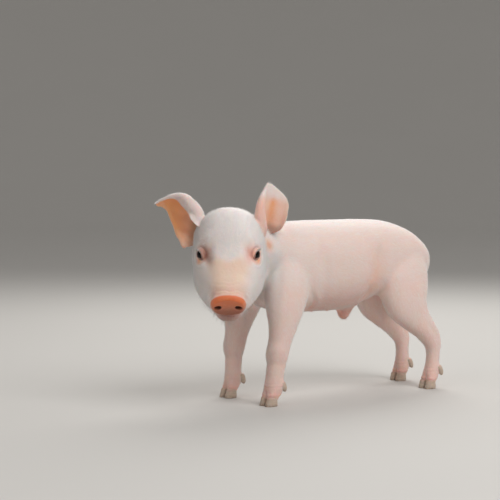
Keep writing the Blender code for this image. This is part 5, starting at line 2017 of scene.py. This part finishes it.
VIEW_TURN = math.radians(56.0)  # the camera's side, from the floor's -Y towards +X
VIEW_DISTANCE = 1.6
VIEW_SIDE = 0.226  # how far the camera stands to the left
VIEW_HEIGHT = 0.2418
VIEW_PITCH = math.radians(2.62)  # how far it looks down
VIEW_LENS = 94.32  # in millimetres, on a sensor 36 mm wide
VIEW_FOOT = np.array((0.036, 0.105, 0.0))  # floor point that the view is measured from


class PIGLET_OT_stage(bpy.types.Operator):
    """Makes the pale sweep, three soft lights, the surround and the camera"""

    bl_idname = "piglet.stage"
    bl_label = "Stage"

    def execute(self, context):
        scene = context.scene
        studio = scene.piglet_studio
        make_sweep(studio.reach, floor_material(scene.piglet_colours))
        back = np.array((math.sin(VIEW_TURN), -math.cos(VIEW_TURN), 0.0))
        right = np.array((math.cos(VIEW_TURN), math.sin(VIEW_TURN), 0.0))
        up = np.array((0.0, 0.0, 1.0))
        aim = up * 0.14
        #   name, right, towards the camera, up, width, power, colour
        for name, along, near, high, size, power, warmth in (
            ("key_light", 0.85, 0.95, 1.35, 1.3, studio.key, (1.0, 0.99, 0.98)),
            ("front_light", -1.0, 0.8, 1.3, 1.2, studio.front, (1.0, 0.97, 0.94)),
            ("back_light", 0.2, -1.1, 1.3, 1.2, studio.back, (1.0, 0.98, 0.95)),
        ):
            soft_light(name, right * along + back * near + up * high, aim, size, power, warmth)
        world = bpy.data.worlds.new("surround")
        world.use_nodes = True
        tell(world.node_tree.nodes["Background"], {"Color": (1.0, 0.97, 0.94, 1),
                                                   "Strength": studio.sky})
        scene.world = world
        scene.view_settings.view_transform = "Standard"
        lens = bpy.data.cameras.new("camera")
        lens.lens = VIEW_LENS
        lens.sensor_width = 36.0
        lens.clip_start, lens.clip_end = 0.05, 40.0
        stand = SHIFT + VIEW_FOOT + back * VIEW_DISTANCE - right * VIEW_SIDE + up * VIEW_HEIGHT
        way = -back * math.cos(VIEW_PITCH) - up * math.sin(VIEW_PITCH)
        scene.camera = aimed(linked("camera", lens), stand, way)
        return {"FINISHED"}


class PIGLET_PT_looks(bpy.types.Panel):
    """Lists the sizes, colours and pieces"""

    bl_idname = "PIGLET_PT_looks"
    bl_label = "Piglet"
    bl_space_type = "VIEW_3D"
    bl_region_type = "UI"
    bl_category = "Piglet"

    def draw(self, context):
        layout = self.layout
        for group in GROUPS:
            values = getattr(context.scene, group)
            box = layout.box()
            for key in values.bl_rna.properties.keys():
                if key not in ("rna_type", "name"):
                    box.prop(values, key)
        for kind in OPERATORS:
            layout.operator(kind.bl_idname)


OPERATORS = (PIGLET_OT_skin, PIGLET_OT_eyes, PIGLET_OT_hooves, PIGLET_OT_coat, PIGLET_OT_stage)
GROUPS = {"piglet_colours": PigletColours, "piglet_coat": PigletCoat, "piglet_studio": PigletStudio}


def register():
    """Registers classes and settings."""
    for kind in (*GROUPS.values(), *OPERATORS, PIGLET_PT_looks):
        bpy.utils.register_class(kind)
    for name, kind in GROUPS.items():
        setattr(bpy.types.Scene, name, PointerProperty(type=kind))


def unregister():
    """Takes them away again."""
    for name in GROUPS:
        delattr(bpy.types.Scene, name)
    for kind in (PIGLET_PT_looks, *reversed(OPERATORS), *reversed(GROUPS.values())):
        bpy.utils.unregister_class(kind)


def main():
    """Makes every piece in order."""
    register()
    for kind in OPERATORS:
        group, name = kind.bl_idname.split(".")
        getattr(getattr(bpy.ops, group), name)()


if __name__ == "__main__":
    main()
